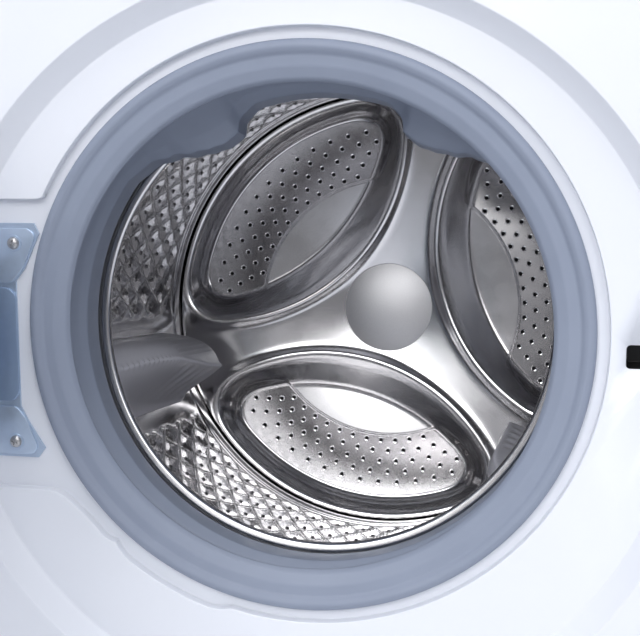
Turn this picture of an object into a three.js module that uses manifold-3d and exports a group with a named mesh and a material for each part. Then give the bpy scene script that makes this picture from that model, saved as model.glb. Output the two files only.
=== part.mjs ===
// Front load washing machine, full size, with its door swung open.
// Millimetres. X to the right, Y from the front to the back, Z up from the floor.
// The cabinet carries the front, the controls, the pump and the feet. The tub hangs in it on two
// springs over two dampers, with its axis leaning back and down, and the drum turns inside the tub.

import * as THREE from 'three';
import { mergeVertices } from 'three/addons/utils/BufferGeometryUtils.js';
import Module from 'manifold-3d';

const wasm = await Module();
wasm.setup();

// Overall sizes

const cabinetWidth = 686;
const cabinetHeight = 983;
const cabinetDepth = 700;
const sheet = 1.5;
const moulding = 3;
const gap = 0.3;
const flange = 18;
const cornerRadius = 14;
const frontReturn = 22;

// Height of each band of the cabinet

const footHeight = 24;
const kickHeight = 92;
const fasciaHeight = 93;
const topPanelHeight = 29;
const panRim = 30;

// Loading opening and the door's seat. y = 0 is the widest plane of the door gasket's bead.

const openingHeight = 520;
const channelFloorY = 2;
const channelDepth = 8;
const seatDepth = 18;
const channelRadius = 229;
const openingRadius = 212.5;
const openingCollar = 12;
const seatDrop = 24;
const seatInnerRadius = 279;
const seatOuterRadius = 293;

// Hinge pocket in the door's seat, its heights from the middle of the opening

const pocketTop = 101;
const pocketBottom = -133;
const pocketRight = -196;
const pocketCorner = 16;
const reliefWidth = 6;
const reliefStart = 228;
const reliefEnd = 254;

// Drum and tub, sized across the drum's leaning axis

const drumTilt = THREE.MathUtils.degToRad(6.15);
const drumAxisRise = 8.3;
const drumRadius = 261.6;
const drumSheet = 1.5;
const drumMouthRadius = 190.7;
const drumMouthDepth = 93;
const drumLength = 425;
const drumRoll = 5.3;
const drumLap = 16;
const hubRadius = 54;
const hubDish = 27;
const lobeDepth = 17;
const lobeRim = 254;
const lobeRimWall = 13;
const lobeTopReach = 72;
const lobeTopArc = 235;
const lobeFloorReach = 117;
const lobeFloorArc = 271;
const lifterCount = 3;
const lifterAngle = 197;
const lifterHeight = 62;
const lifterWidth = 86;
const lifterFront = 128;
const lifterBack = 478;
const armAngle = 195.5;
const tubClearance = 9;
const tubWall = 4;
const tubRibs = 10;
const tubSplit = 300;
const collarRadius = 208;
const collarWall = 5;
const collarFront = 65;
const collarLength = 24;
const bearingHousingRadius = 46;

// Shaft, bearings and motor, from the drum's back towards the rear panel

const shaftRadius = 15;
const runningGap = 0.35;
const bearingRadius = 31;
const bearingLength = 16;
const sealRadius = 36;
const sealLength = 8;
const statorRadius = 122;
const statorLength = 22;
const rotorRadius = 136;
const rotorRim = 10;
const rotorLength = 54;

// Suspension

const springRadius = 12;
const springWire = 4;
const springTurns = 6;
const springLength = 150;
const springAngle = 32;
const springDepth = 330;
const damperRadius = 15;
const damperRod = 6;
const damperAngle = 236;
const damperDepth = 340;
const damperEye = 9;
const damperFoot = 214;

// Door, hinged at the left and latched at the right

const doorRadius = 284;
const doorThickness = 55;
const doorSeatGap = 3;
const doorWindowRadius = 190;
const doorWindowRise = 12;
const doorOpenAngle = 90;
const bowlRadius = 180;
const bowlEndRadius = 104;
const bowlDepth = 90;
const bowlWall = 4;
const hingeX = -270;
const hingeY = -34;
const hingeDrop = 16;
const hingePinRadius = 4;
const hingeKnuckleRadius = 7.5;
const hingeKnuckle = 26;
const hingeArmKnuckle = 62;
const hingePlate = 2;
const latchX = 253;
const latchDrop = 9;
const latchSlotWidth = 26;
const latchSlotHeight = 17.5;

// Controls

const fasciaProud = 10;
const fasciaEdge = 10;
const drawerWidth = 200;
const drawerHeight = 64;
const drawerDepth = 235;
const drawerFromLeft = 10;
const dialRadius = 33;
const dialHeight = 20;
const dialX = -60;
const displayX = 95;
const displayWidth = 150;
const displayHeight = 42;
const powerX = 305;
const powerRadius = 12;
const startX = 240;
const startRadius = 17;
const optionWidth = 34;
const optionHeight = 10;
const optionSpacing = 52;
const buttonProud = 2;
const buttonTravel = 1.5;

// Filter and pump

const filterX = 255;
const filterHeight = 74;
const filterRadius = 30;
const pumpLength = 150;
const flapWidth = 120;
const flapHeight = 66;

// Feet

const footRadius = 24;
const footStem = 5;
const footInset = 46;

// Smoothness of round pieces

const roundSides = 28;
const middleSides = 20;
const smallSides = 8;

// Levels and faces that follow from the sizes above

const halfWidth = cabinetWidth / 2;
const seatFaceY = channelFloorY - channelDepth;
const frontY = seatFaceY - seatDepth;
const rearY = frontY + cabinetDepth;
const seatHeight = openingHeight - seatDrop;
const kickTop = footHeight + kickHeight;
const fasciaTop = cabinetHeight - topPanelHeight;
const fasciaBottom = fasciaTop - fasciaHeight;
const fasciaFrontY = frontY - fasciaProud;
const controlHeight = (fasciaTop + fasciaBottom) / 2;
const drumAxisHeight = openingHeight + drumAxisRise;
const drumSeam = drumMouthDepth + drumLength;
const hubFace = drumSeam + hubDish;
const tubInner = drumRadius + drumSheet + tubClearance;
const tubOuter = tubInner + tubWall;
const spiderLength = 25;
const spiderStandoff = 3.5;
const bossFront = hubFace + spiderLength + 6;
const sealY = [bossFront + gap, bossFront + gap + sealLength];
const frontBearingY = [sealY[1] + gap * 2, sealY[1] + gap * 2 + bearingLength];
const rearBearingY = [frontBearingY[1] + 14, frontBearingY[1] + 14 + bearingLength];
const bossBack = rearBearingY[1] + gap;
const statorY = [bossFront + 10, bossFront + 10 + statorLength];
const rotorY = [statorY[0] + 2, statorY[0] + 2 + rotorLength];
const shaftEnd = rotorY[1] + 8;
const sideFrontY = frontY + frontReturn + gap;
const sideRearY = rearY - sheet - gap;

// Finishes

const whitePaint = { color: 0xeff1f7, roughness: 0.32, metalness: 0 };
const whitePlastic = { color: 0xf1f2f5, roughness: 0.4, metalness: 0 };
const greyPlastic = { color: 0x74777f, roughness: 0.5, metalness: 0 };
const paleGreyPlastic = { color: 0xb9bec9, roughness: 0.45, metalness: 0 };
const blackPlastic = { color: 0x121214, roughness: 0.35, metalness: 0 };
const darkGlass = { color: 0x15171b, roughness: 0.08, metalness: 0 };
const bowlGlass = { color: 0xcfdadf, roughness: 0.04, metalness: 0 };
const gasketRubber = { color: 0x8b93a6, roughness: 0.55, metalness: 0 };
const blackRubber = { color: 0x1c1c1e, roughness: 0.8, metalness: 0 };
const polishedSteel = { color: 0xc9c9cd, roughness: 0.16, metalness: 1 };
const brushedSteel = { color: 0xbdbdc2, roughness: 0.35, metalness: 1 };
const zincSteel = { color: 0xb4c2d2, roughness: 0.38, metalness: 0.9 };
const castAluminium = { color: 0xa7a9ad, roughness: 0.55, metalness: 0.85 };
const galvanised = { color: 0xa9adb2, roughness: 0.5, metalness: 0.8 };
const concrete = { color: 0x8f8d88, roughness: 0.95, metalness: 0 };
const tubPlastic = { color: 0xa6abb0, roughness: 0.6, metalness: 0 };
const copper = { color: 0xb06a3a, roughness: 0.5, metalness: 0.7 };
const boardGreen = { color: 0x2c5a3c, roughness: 0.6, metalness: 0 };

// Shape tools

const { PI, abs, cos, sin, min, max } = Math;
const rad = THREE.MathUtils.degToRad;

// A box between two corners, each axis given as [low, high].
function box(x, y, z) {
  const geometry = new THREE.BoxGeometry(x[1] - x[0], y[1] - y[0], z[1] - z[0]);
  return geometry.translate((x[0] + x[1]) / 2, (y[0] + y[1]) / 2, (z[0] + z[1]) / 2);
}

// A round bar along one axis, with its centre given by the other two in X, Y, Z order.
function rod(axis, radius, span, centre, sides = smallSides) {
  const geometry = new THREE.CylinderGeometry(radius, radius, span[1] - span[0], sides);
  const middle = (span[0] + span[1]) / 2;
  if (axis === 'x') return geometry.rotateZ(PI / 2).translate(middle, centre[0], centre[1]);
  if (axis === 'y') return geometry.translate(centre[0], middle, centre[1]);
  return geometry.rotateX(PI / 2).translate(centre[0], centre[1], middle);
}

// A profile of [radius, distance along Y] points turned round the Y axis at (x, z).
function turned(profile, centre = [0, 0], sides = roundSides) {
  let area = 0;
  profile.forEach(([r, y], i) => {
    const [nextR, nextY] = profile[(i + 1) % profile.length];
    area += r * nextY - nextR * y;
  });
  const ordered = area > 0 ? [...profile] : [...profile].reverse();
  const points = [...ordered, ordered[0]].map(([r, y]) => new THREE.Vector2(r, y));
  return new THREE.LatheGeometry(points, sides).translate(centre[0], 0, centre[1]);
}

// The same, turned round an upright axis at (x, y).
function turnedUpright(profile, centre, sides = smallSides) {
  return turned(profile.map(([r, z]) => [r, -z]), [0, 0], sides)
    .rotateX(-PI / 2)
    .translate(centre[0], centre[1], 0);
}

// An outline pushed along one axis over a span. The outline lies in the other two, in X, Y, Z order.
function prism(axis, shape, span, curveSegments = 6) {
  const depth = span[1] - span[0];
  const geometry = new THREE.ExtrudeGeometry(shape, { depth, bevelEnabled: false, curveSegments });
  if (axis === 'z') return geometry.translate(0, 0, span[0]);
  if (axis === 'y') return geometry.rotateX(PI / 2).translate(0, span[1], 0);
  const swap = new THREE.Matrix4().makeBasis(
    new THREE.Vector3(0, 1, 0),
    new THREE.Vector3(0, 0, 1),
    new THREE.Vector3(1, 0, 0),
  );
  return geometry.applyMatrix4(swap).translate(span[0], 0, 0);
}

function outline(points) {
  return new THREE.Shape(points.map(([a, b]) => new THREE.Vector2(a, b)));
}

function roundedRectangle(a, b, radius) {
  const shape = new THREE.Shape();
  shape.absarc(a[1] - radius, b[1] - radius, radius, 0, PI / 2);
  shape.absarc(a[0] + radius, b[1] - radius, radius, PI / 2, PI);
  shape.absarc(a[0] + radius, b[0] + radius, radius, PI, 1.5 * PI);
  shape.absarc(a[1] - radius, b[0] + radius, radius, 1.5 * PI, 2 * PI);
  return shape;
}

// A ring sector about the origin of the outline's own plane, from one angle to another in degrees.
function sector(inner, outer, from, to, steps = 12) {
  const outerArc = [];
  const innerArc = [];
  for (let i = 0; i <= steps; i++) {
    const angle = rad(from + ((to - from) * i) / steps);
    outerArc.push([outer * cos(angle), outer * sin(angle)]);
    innerArc.unshift([inner * cos(angle), inner * sin(angle)]);
  }
  return outline([...outerArc, ...innerArc]);
}

// Closed rings of points joined one to the next into a closed skin. A looped skin joins its last
// ring to its first, as on a hollow sleeve. Any other has a flat cap on each end ring.
function stitched(rings, looped = false) {
  const count = rings[0].length;
  const points = rings.flat();
  const faces = [];
  const last = looped ? rings.length : rings.length - 1;
  for (let i = 0; i < last; i++) {
    const here = i * count;
    const there = ((i + 1) % rings.length) * count;
    for (let k = 0; k < count; k++) {
      const next = (k + 1) % count;
      faces.push(here + k, here + next, there + next, here + k, there + next, there + k);
    }
  }
  if (!looped) {
    for (const [start, turn] of [[0, 1], [(rings.length - 1) * count, -1]]) {
      const centre = new THREE.Vector3();
      for (let k = 0; k < count; k++) centre.addScaledVector(points[start + k], 1 / count);
      points.push(centre);
      for (let k = 0; k < count; k++) {
        const a = start + k;
        const b = start + ((k + 1) % count);
        faces.push(points.length - 1, turn > 0 ? b : a, turn > 0 ? a : b);
      }
    }
  }
  const geometry = new THREE.BufferGeometry().setFromPoints(points);
  geometry.setIndex(faces);
  if (signedVolume(geometry) < 0) geometry.setIndex([...faces].reverse());
  return geometry;
}

function signedVolume(geometry) {
  const position = geometry.attributes.position;
  const corner = [new THREE.Vector3(), new THREE.Vector3(), new THREE.Vector3()];
  let volume = 0;
  for (let i = 0; i < geometry.index.count; i += 3) {
    corner.forEach((point, k) => point.fromBufferAttribute(position, geometry.index.getX(i + k)));
    volume += corner[0].dot(corner[1].clone().cross(corner[2])) / 6;
  }
  return volume;
}

// Rings of points square to a curve, one for each radius, spread evenly over its parameter. Each ring
// turns with the curve without twisting from the last.
function ringsAlong(curve, radii, sides) {
  const steps = radii.length - 1;
  const first = curve.getTangent(0);
  const normal = abs(first.x) < 0.7 ? new THREE.Vector3(1, 0, 0) : new THREE.Vector3(0, 1, 0);
  return radii.map((radius, i) => {
    const centre = curve.getPoint(i / steps);
    const along = curve.getTangent(i / steps);
    normal.addScaledVector(along, -normal.dot(along)).normalize();
    const binormal = along.clone().cross(normal);
    return Array.from({ length: sides }, (_, k) => {
      const angle = (2 * PI * k) / sides;
      return centre
        .clone()
        .addScaledVector(normal, radius * cos(angle))
        .addScaledVector(binormal, radius * sin(angle));
    });
  });
}

// A hollow sleeve along a curve. Its outer radius at each ring is given as a list.
function sleeve(curve, radii, wall, sides) {
  const outer = ringsAlong(curve, radii, sides);
  const inner = ringsAlong(curve, radii.map((radius) => radius - wall), sides);
  return stitched([...outer, ...inner.reverse()], true);
}

// A straight run, a bend and a straight run, leaving one point and arriving at another along the
// given directions.
function hosePath(start, leaving, end, arriving, run, reach) {
  const bendStart = start.clone().addScaledVector(leaving, run);
  const bendEnd = end.clone().addScaledVector(arriving, -run);
  const path = new THREE.CurvePath();
  path.add(new THREE.LineCurve3(start, bendStart));
  path.add(new THREE.CubicBezierCurve3(
    bendStart,
    bendStart.clone().addScaledVector(leaving, reach),
    bendEnd.clone().addScaledVector(arriving, -reach),
    bendEnd,
  ));
  path.add(new THREE.LineCurve3(bendEnd, end));
  return path;
}

// Copies a left-hand piece to the right.
function mirrored(geometry) {
  const copy = geometry.clone().scale(-1, 1, 1);
  if (!copy.index) copy.setIndex([...Array(copy.attributes.position.count).keys()]);
  copy.setIndex([...copy.index.array].reverse());
  return copy;
}

// Joining and cutting

function toSolid(geometry) {
  const bare = geometry.clone();
  bare.deleteAttribute('normal');
  bare.deleteAttribute('uv');
  const welded = mergeVertices(bare, 1e-4);
  const corners = [...welded.index.array];
  const faces = [];
  for (let i = 0; i < corners.length; i += 3) {
    const [a, b, c] = corners.slice(i, i + 3);
    if (a !== b && b !== c && c !== a) faces.push(a, b, c);
  }
  return new wasm.Manifold(new wasm.Mesh({
    numProp: 3,
    vertProperties: new Float32Array(welded.attributes.position.array),
    triVerts: new Uint32Array(faces),
  }));
}

function toGeometry(solid) {
  const mesh = solid.getMesh();
  const geometry = new THREE.BufferGeometry();
  geometry.setAttribute('position', new THREE.BufferAttribute(new Float32Array(mesh.vertProperties), 3));
  geometry.setIndex(new THREE.BufferAttribute(new Uint32Array(mesh.triVerts), 1));
  geometry.computeVertexNormals();
  return geometry;
}

function joined(...geometries) {
  return toGeometry(geometries.map(toSolid).reduce((whole, piece) => whole.add(piece)));
}

function cutBy(geometry, ...tools) {
  return toGeometry(tools.map(toSolid).reduce((whole, tool) => whole.subtract(tool), toSolid(geometry)));
}

function common(geometry, other) {
  return toGeometry(toSolid(geometry).intersect(toSolid(other)));
}

// The leaning frame of the tub and drum. Its Y axis is the drum's axis.

const washUnit = new THREE.Group();
washUnit.position.set(0, 0, drumAxisHeight);
washUnit.rotation.x = -drumTilt;
washUnit.updateMatrixWorld();

function fromWashUnit(x, depth, up) {
  return new THREE.Vector3(x, depth, up).applyMatrix4(washUnit.matrixWorld);
}

// A point at an angle round the drum's axis, in the leaning frame.
function aroundDrum(radius, depth, degrees) {
  return new THREE.Vector3(radius * cos(rad(degrees)), depth, radius * sin(rad(degrees)));
}

const machine = new THREE.Group();
const doorLeaf = new THREE.Group();
machine.add(washUnit, doorLeaf);

function addPiece(parent, name, geometry, finish) {
  const mesh = new THREE.Mesh(geometry, new THREE.MeshStandardMaterial(finish));
  mesh.name = name;
  parent.add(mesh);
}

// Places that several pieces share

const footX = halfWidth - footInset;
const footYs = [sideFrontY + footInset, sideRearY - footInset];
const panTop = footHeight + sheet;
const hingeHeight = openingHeight - hingeDrop;
const latchHeight = openingHeight - latchDrop;
const drawerX = [-halfWidth + drawerFromLeft, -halfWidth + drawerFromLeft + drawerWidth];
const drawerZ = [controlHeight - drawerHeight / 2, controlHeight + drawerHeight / 2];
const drawerLip = 12;
const trayInset = 14;
const trayX = [drawerX[0] + trayInset, drawerX[1] - trayInset];
const trayZ = [drawerZ[0] + 6, drawerZ[1] - 6];
const trayY = [fasciaFrontY + drawerLip, fasciaFrontY + drawerLip + drawerDepth];
const housingClearance = 2.5;
const housingWall = 2.5;
const housingX = [trayX[0] - housingClearance - housingWall, trayX[1] + housingClearance + housingWall];
const housingZ = [trayZ[0] - housingClearance - housingWall, trayZ[1] + housingClearance + housingWall];
const housingRearY = trayY[1] + housingClearance + housingWall;
const fasciaBackY = fasciaFrontY + moulding;
const spigotRadius = 17;
const nozzleX = (trayX[0] + trayX[1]) / 2 + 60;
const nozzleY = housingRearY - 40;
const nozzleEnd = housingZ[0] - 22;
const springLug = 16;
const springHole = 5;
const hangerInset = 44;
const hangerDrop = 30;
const pumpFrontY = sideFrontY + 10;
const pumpNozzleX = filterX - 60;
const pumpNozzleY = pumpFrontY + 52;
const filterZ = filterHeight;

// The eye at each end of a damper, its pin's reach, and the two ears that hold it.
const eyeHalf = 8;
const earThickness = 3;
const eyePin = 4;

function clevis(centre, reach, direction) {
  // Two ears beside an eye. They run from the eye's centre along direction, in the XZ plane.
  const ears = [-1, 1].map((side) => {
    const near = centre.y + side * (eyeHalf + gap);
    const far = near + side * earThickness;
    const plate = box([-damperEye, damperEye], [min(near, far), max(near, far)], [-damperEye, reach])
      .rotateY(Math.atan2(direction.x, direction.z))
      .translate(centre.x, 0, centre.z);
    const hole = (eyePin + gap) / cos(PI / smallSides);
    return cutBy(plate, rod('y', hole, [min(near, far) - 1, max(near, far) + 1], [centre.x, centre.z]));
  });
  return ears;
}

// Where each spring and damper meets the tub and the cabinet, on the left for side -1.
function springEnds(side) {
  const angle = side > 0 ? springAngle : 180 - springAngle;
  const tubEnd = fromWashUnit(...aroundDrum(tubOuter + springLug, springDepth, angle));
  const topEnd = new THREE.Vector3(side * (halfWidth - hangerInset), tubEnd.y, fasciaTop - hangerDrop);
  return { tubEnd, topEnd };
}

function damperEnds(side) {
  const angle = side > 0 ? 540 - damperAngle : damperAngle;
  const tubEnd = fromWashUnit(...aroundDrum(tubOuter + damperEye + 6, damperDepth, angle));
  const panEnd = new THREE.Vector3(side * damperFoot, tubEnd.y, panTop + damperEye + 14);
  return { tubEnd, panEnd };
}

// Base pan: a pressed steel tray with a turned-up rim, two stiffening channels, four foot holes and
// the two damper brackets.
function basePan() {
  const half = halfWidth - sheet - gap;
  const y = [sideFrontY + sheet + gap, sideRearY - sheet - gap];
  const tray = cutBy(
    box([-half, half], y, [footHeight, panTop + panRim]),
    box([-half + sheet, half - sheet], [y[0] + sheet, y[1] - sheet], [panTop, panTop + panRim + 1]),
  );
  const channelX = 110;
  const channelHalf = 22;
  const channelRise = 9;
  const outer = [];
  const inner = [];
  for (const side of [-1, 1]) {
    const centre = side * channelX;
    const ends = [y[0] + 60, y[1] - 60];
    outer.push(box([centre - channelHalf, centre + channelHalf], ends, [footHeight, panTop + channelRise]));
    inner.push(box(
      [centre - channelHalf + sheet, centre + channelHalf - sheet],
      [ends[0] + sheet, ends[1] - sheet],
      [footHeight - 1, panTop + channelRise - sheet],
    ));
  }
  const brackets = [-1, 1].flatMap((side) => {
    const { panEnd } = damperEnds(side);
    return clevis(panEnd, panEnd.z - footHeight - sheet / 2, new THREE.Vector3(0, 0, -1));
  });
  const holes = [];
  const stemHole = (footStem + gap) / cos(PI / smallSides);
  for (const x of [-footX, footX]) {
    for (const footY of footYs) holes.push(rod('z', stemHole, [footHeight - 1, panTop + 1], [x, footY]));
  }
  const filterNotch = box([filterX - 42, filterX + 42], [y[0] - 1, y[0] + 5], [panTop + 8, panTop + panRim + 1]);
  return cutBy(joined(tray, ...outer, ...brackets), filterNotch, ...inner, ...holes);
}

// Side panel: folded steel with front, rear and top flanges, a shallow pressed field and the gusset
// that the suspension spring hangs from. Drawn for the left.
function leftSidePanel() {
  const out = -halfWidth;
  const plan = outline([
    [out, sideFrontY],
    [out + flange, sideFrontY],
    [out + flange, sideFrontY + sheet],
    [out + sheet, sideFrontY + sheet],
    [out + sheet, sideRearY - sheet],
    [out + flange, sideRearY - sheet],
    [out + flange, sideRearY],
    [out, sideRearY],
  ]);
  const top = fasciaTop - gap;
  const folded = prism('z', plan, [footHeight, top]);
  const topFlange = box([out, out + flange + 12], [sideFrontY, sideRearY], [top - sheet, top]);
  const field = {
    y: [sideFrontY + 70, sideRearY - 70],
    z: [footHeight + 110, top - 150],
    depth: 4,
    radius: 26,
  };
  const fieldVoid = prism('x', roundedRectangle(field.y, field.z, field.radius), [out - 1, out + field.depth], 3);
  const fieldBack = prism(
    'x',
    roundedRectangle(
      [field.y[0] - sheet, field.y[1] + sheet],
      [field.z[0] - sheet, field.z[1] + sheet],
      field.radius + sheet,
    ),
    [out + sheet / 2, out + field.depth + sheet],
    3,
  );
  const { topEnd } = springEnds(-1);
  const gusset = box(
    [out + sheet / 2, topEnd.x + 14],
    [topEnd.y - earThickness / 2, topEnd.y + earThickness / 2],
    [topEnd.z - 12, top - sheet / 2],
  );
  const hole = rod('y', springHole, [topEnd.y - 5, topEnd.y + 5], [topEnd.x, topEnd.z], 12);
  return cutBy(joined(folded, topFlange, fieldBack, gusset), fieldVoid, hole);
}

// Rear panel: a flat sheet with the motor's service opening, two holes for the water inlets and one
// each for the drain hose and the supply cord.
const serviceX = [-190, 190];
const serviceZ = [drumAxisHeight - 260, drumAxisHeight + 110];
const serviceRadius = 60;
const inletXs = [-250, -190];
const inletZ = fasciaTop - 70;
const inletRadius = 13;
const inletHose = 8;
const drainHole = { x: 250, z: fasciaTop - 90, radius: 15 };
const cordHole = { x: 285, z: fasciaTop - 180, radius: 9 };

function rearPanel() {
  const plate = box([-halfWidth, halfWidth], [rearY - sheet, rearY], [footHeight, fasciaTop - gap]);
  const through = [rearY - 20, rearY + 20];
  const ribBacks = [];
  const ribVoids = [];
  const ribY = rearY - 9;
  for (const x of [-265, 265]) {
    const z = [footHeight + 90, serviceZ[1] + 30];
    ribBacks.push(prism('y', roundedRectangle([x - 22, x + 22], z, 20), [ribY, rearY - sheet / 2], 2));
    ribVoids.push(prism(
      'y',
      roundedRectangle([x - 22 + sheet, x + 22 - sheet], [z[0] + sheet, z[1] - sheet], 20 - sheet),
      [ribY + sheet, rearY + 1],
      2,
    ));
  }
  return cutBy(
    joined(plate, ...ribBacks),
    ...ribVoids,
    prism('y', roundedRectangle(serviceX, serviceZ, serviceRadius), through, 3),
    ...inletXs.map((x) => rod('y', inletRadius + 1, through, [x, inletZ])),
    rod('y', drainHole.radius, through, [drainHole.x, drainHole.z]),
    rod('y', cordHole.radius, through, [cordHole.x, cordHole.z]),
  );
}

// Service cover: a sheet cap over the opening behind the motor, dished outwards and louvred.
function serviceCover() {
  const overlap = 16;
  const dish = 7;
  const inset = 34;
  const y = rearY + gap;
  const around = (d) => [
    [serviceX[0] - d, serviceX[1] + d],
    [serviceZ[0] - d, serviceZ[1] + d],
  ];
  const plate = prism('y', roundedRectangle(...around(overlap), serviceRadius + overlap), [y, y + sheet], 3);
  const dome = prism('y', roundedRectangle(...around(-inset), serviceRadius - inset / 2), [y, y + dish], 3);
  const hollow = prism(
    'y',
    roundedRectangle(...around(-inset - sheet), serviceRadius - inset / 2 - sheet),
    [y - 1, y + dish - sheet],
    3,
  );
  const louvres = [];
  const pitch = 17;
  for (let i = 0; i < 6; i++) {
    const z = serviceZ[0] + inset + 40 + i * pitch;
    louvres.push(box([-90, 90], [y - 1, y + dish + 1], [z, z + 6]));
  }
  return cutBy(joined(plate, dome), hollow, ...louvres);
}

// Top panel: a moulded lid with soft edges, hollow below, resting on the sides' top flanges.
function topPanel() {
  const soft = 7;
  const skin = 3;
  const y = [fasciaFrontY - 2, rearY];
  const shape = roundedRectangle([-halfWidth + soft, halfWidth - soft], [y[0] + soft, y[1] - soft], 16);
  const slab = new THREE.ExtrudeGeometry(shape, {
    depth: topPanelHeight - soft,
    bevelEnabled: true,
    bevelThickness: soft,
    bevelSize: soft,
    bevelSegments: 3,
    curveSegments: 4,
  }).translate(0, 0, fasciaTop);
  const below = box([-cabinetWidth, cabinetWidth], [y[0] - 50, y[1] + 50], [fasciaTop - 50, fasciaTop]);
  const hollow = [];
  const ribXs = [-halfWidth + 12, -halfWidth / 3, halfWidth / 3, halfWidth - 12];
  for (let i = 0; i < 3; i++) {
    hollow.push(box(
      [ribXs[i] + skin / 2, ribXs[i + 1] - skin / 2],
      [y[0] + 14, y[1] - 12],
      [fasciaTop - 1, cabinetHeight - skin],
    ));
  }
  return cutBy(slab, below, ...hollow);
}

// Front panel: one pressed sheet. A round seat for the door is sunk into its face, a channel for the
// gasket's bead is sunk into the seat, and the hinge pocket and the drain relief run into that channel.
function frontPanelPlan(inset) {
  const x = halfWidth - inset;
  const y = frontY + inset;
  const r = cornerRadius - inset;
  const shape = new THREE.Shape();
  shape.moveTo(-x, frontY + frontReturn);
  shape.lineTo(-x, y + r);
  shape.absarc(-x + r, y + r, r, PI, 1.5 * PI);
  shape.lineTo(x - r, y);
  shape.absarc(x - r, y + r, r, 1.5 * PI, 2 * PI);
  shape.lineTo(x, frontY + frontReturn);
  return shape.getPoints(3);
}

function seatCone(offset) {
  // The seat's hollow, grown by offset on its far side.
  const slope = (seatOuterRadius - seatInnerRadius) / seatDepth;
  const start = offset > 0 ? frontY + sheet / 2 : frontY - 4;
  const startRadius = seatOuterRadius + offset + (frontY - start) * slope;
  return turned(
    [[0, start], [startRadius, start], [seatInnerRadius + offset, seatFaceY + offset], [0, seatFaceY + offset]],
    [0, seatHeight],
  );
}

function hingePocket(offset) {
  const corner = pocketCorner + offset;
  const shape = roundedRectangle(
    [-seatInnerRadius - 60, pocketRight + 40 + offset],
    [openingHeight + pocketBottom - offset, openingHeight + pocketTop + offset],
    corner,
  );
  const start = offset > 0 ? seatFaceY + sheet / 2 : seatFaceY - 1;
  const pocket = prism('y', shape, [start, channelFloorY + offset], 3);
  return common(pocket, rod('y', seatInnerRadius - 3 + offset, [start - 1, channelFloorY + 5], [0, seatHeight], roundSides));
}

function drainRelief(offset) {
  const start = offset > 0 ? seatFaceY + sheet / 2 : seatFaceY - 1;
  const shape = sector(
    openingRadius + 4,
    channelRadius + reliefWidth + offset,
    reliefStart - offset / 4,
    reliefEnd + offset / 4,
    6,
  );
  return prism('y', shape, [start, channelFloorY + offset]).translate(0, 0, openingHeight);
}

function frontPanel() {
  const outer = frontPanelPlan(0);
  const inner = frontPanelPlan(sheet).reverse();
  const z = [kickTop, fasciaBottom - gap];
  const skin = prism('z', new THREE.Shape([...outer, ...inner]), z);
  const reach = halfWidth - cornerRadius;
  const folds = z.map((edge, i) => box(
    [-reach, reach],
    [frontY + sheet / 2, frontY + frontReturn],
    i === 0 ? [edge, edge + sheet] : [edge - sheet, edge],
  ));
  const centre = [0, openingHeight];
  const channelBack = rod(
    'y', channelRadius + sheet, [seatFaceY + sheet / 2, channelFloorY + sheet], centre, roundSides,
  );
  const collar = rod(
    'y', openingRadius + sheet, [channelFloorY, channelFloorY + openingCollar], centre, roundSides,
  );
  const solid = joined(skin, ...folds, seatCone(sheet), channelBack, hingePocket(sheet), drainRelief(sheet), collar);
  const slot = roundedRectangle(
    [latchX - latchSlotWidth / 2, latchX + latchSlotWidth / 2],
    [latchHeight - latchSlotHeight / 2, latchHeight + latchSlotHeight / 2],
    3,
  );
  return cutBy(
    solid,
    seatCone(0),
    rod('y', channelRadius, [seatFaceY - 1, channelFloorY], centre, roundSides),
    hingePocket(0),
    drainRelief(0),
    rod('y', openingRadius, [frontY, channelFloorY + openingCollar + 1], centre, roundSides),
    prism('y', slot, [seatFaceY - 5, seatFaceY + 5], 3),
  );
}

// Kick panel: the moulded plinth, with the filter's hatch at the right.
const kickY = frontY + 2;
const flapX = [filterX - flapWidth / 2, filterX + flapWidth / 2];
const flapZ = [filterZ - flapHeight / 2, filterZ + flapHeight / 2];
const flapPivotY = kickY + moulding / 2;
const flapPivotZ = flapZ[0] + moulding / 2;
const flapPin = 1;
const flapPinLength = 5;

function kickPanel() {
  const z = [footHeight + 4, kickTop - gap];
  const outer = frontPanelPlan(2);
  const inner = frontPanelPlan(2 + moulding).reverse();
  const skin = prism('z', new THREE.Shape([...outer, ...inner]), z);
  const hatch = box(
    [flapX[0] - gap * 2, flapX[1] + gap * 2],
    [kickY - 1, kickY + moulding + 1],
    [flapZ[0] - gap * 2, flapZ[1] + gap * 2],
  );
  const pinHole = rod(
    'x', flapPin + gap, [flapX[0] - flapPinLength - 1, flapX[1] + flapPinLength + 1], [flapPivotY, flapPivotZ], 8,
  );
  return cutBy(skin, hatch, pinHole);
}

// Filter hatch: a plate that turns down about pins in its rounded lower edge.
function filterFlap() {
  const plate = box(flapX, [kickY, kickY + moulding], [flapPivotZ, flapZ[1]]);
  const edge = rod('x', moulding / 2, flapX, [flapPivotY, flapPivotZ], 12);
  const pins = rod(
    'x', flapPin, [flapX[0] - flapPinLength, flapX[1] + flapPinLength], [flapPivotY, flapPivotZ], 8,
  );
  const finger = rod('x', 5, [filterX - 12, filterX + 12], [kickY - 2, flapZ[1] + 1], 12);
  return cutBy(joined(plate, edge, pins), finger);
}

// Control fascia: a hollow moulding with a bull-nosed section across the whole front.
function fasciaSection(inset, backY) {
  const z = [fasciaBottom + inset, fasciaTop - gap - inset];
  const r = fasciaEdge - inset;
  const shape = new THREE.Shape();
  shape.moveTo(backY, z[0]);
  shape.lineTo(backY, z[1]);
  shape.absarc(fasciaFrontY + inset + r, z[1] - r, r, PI / 2, PI);
  shape.absarc(fasciaFrontY + inset + r, z[0] + r, r, PI, 1.5 * PI);
  return shape;
}

const buttonGap = 0.4;

const optionZ = controlHeight - displayHeight / 2 - 8;

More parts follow.
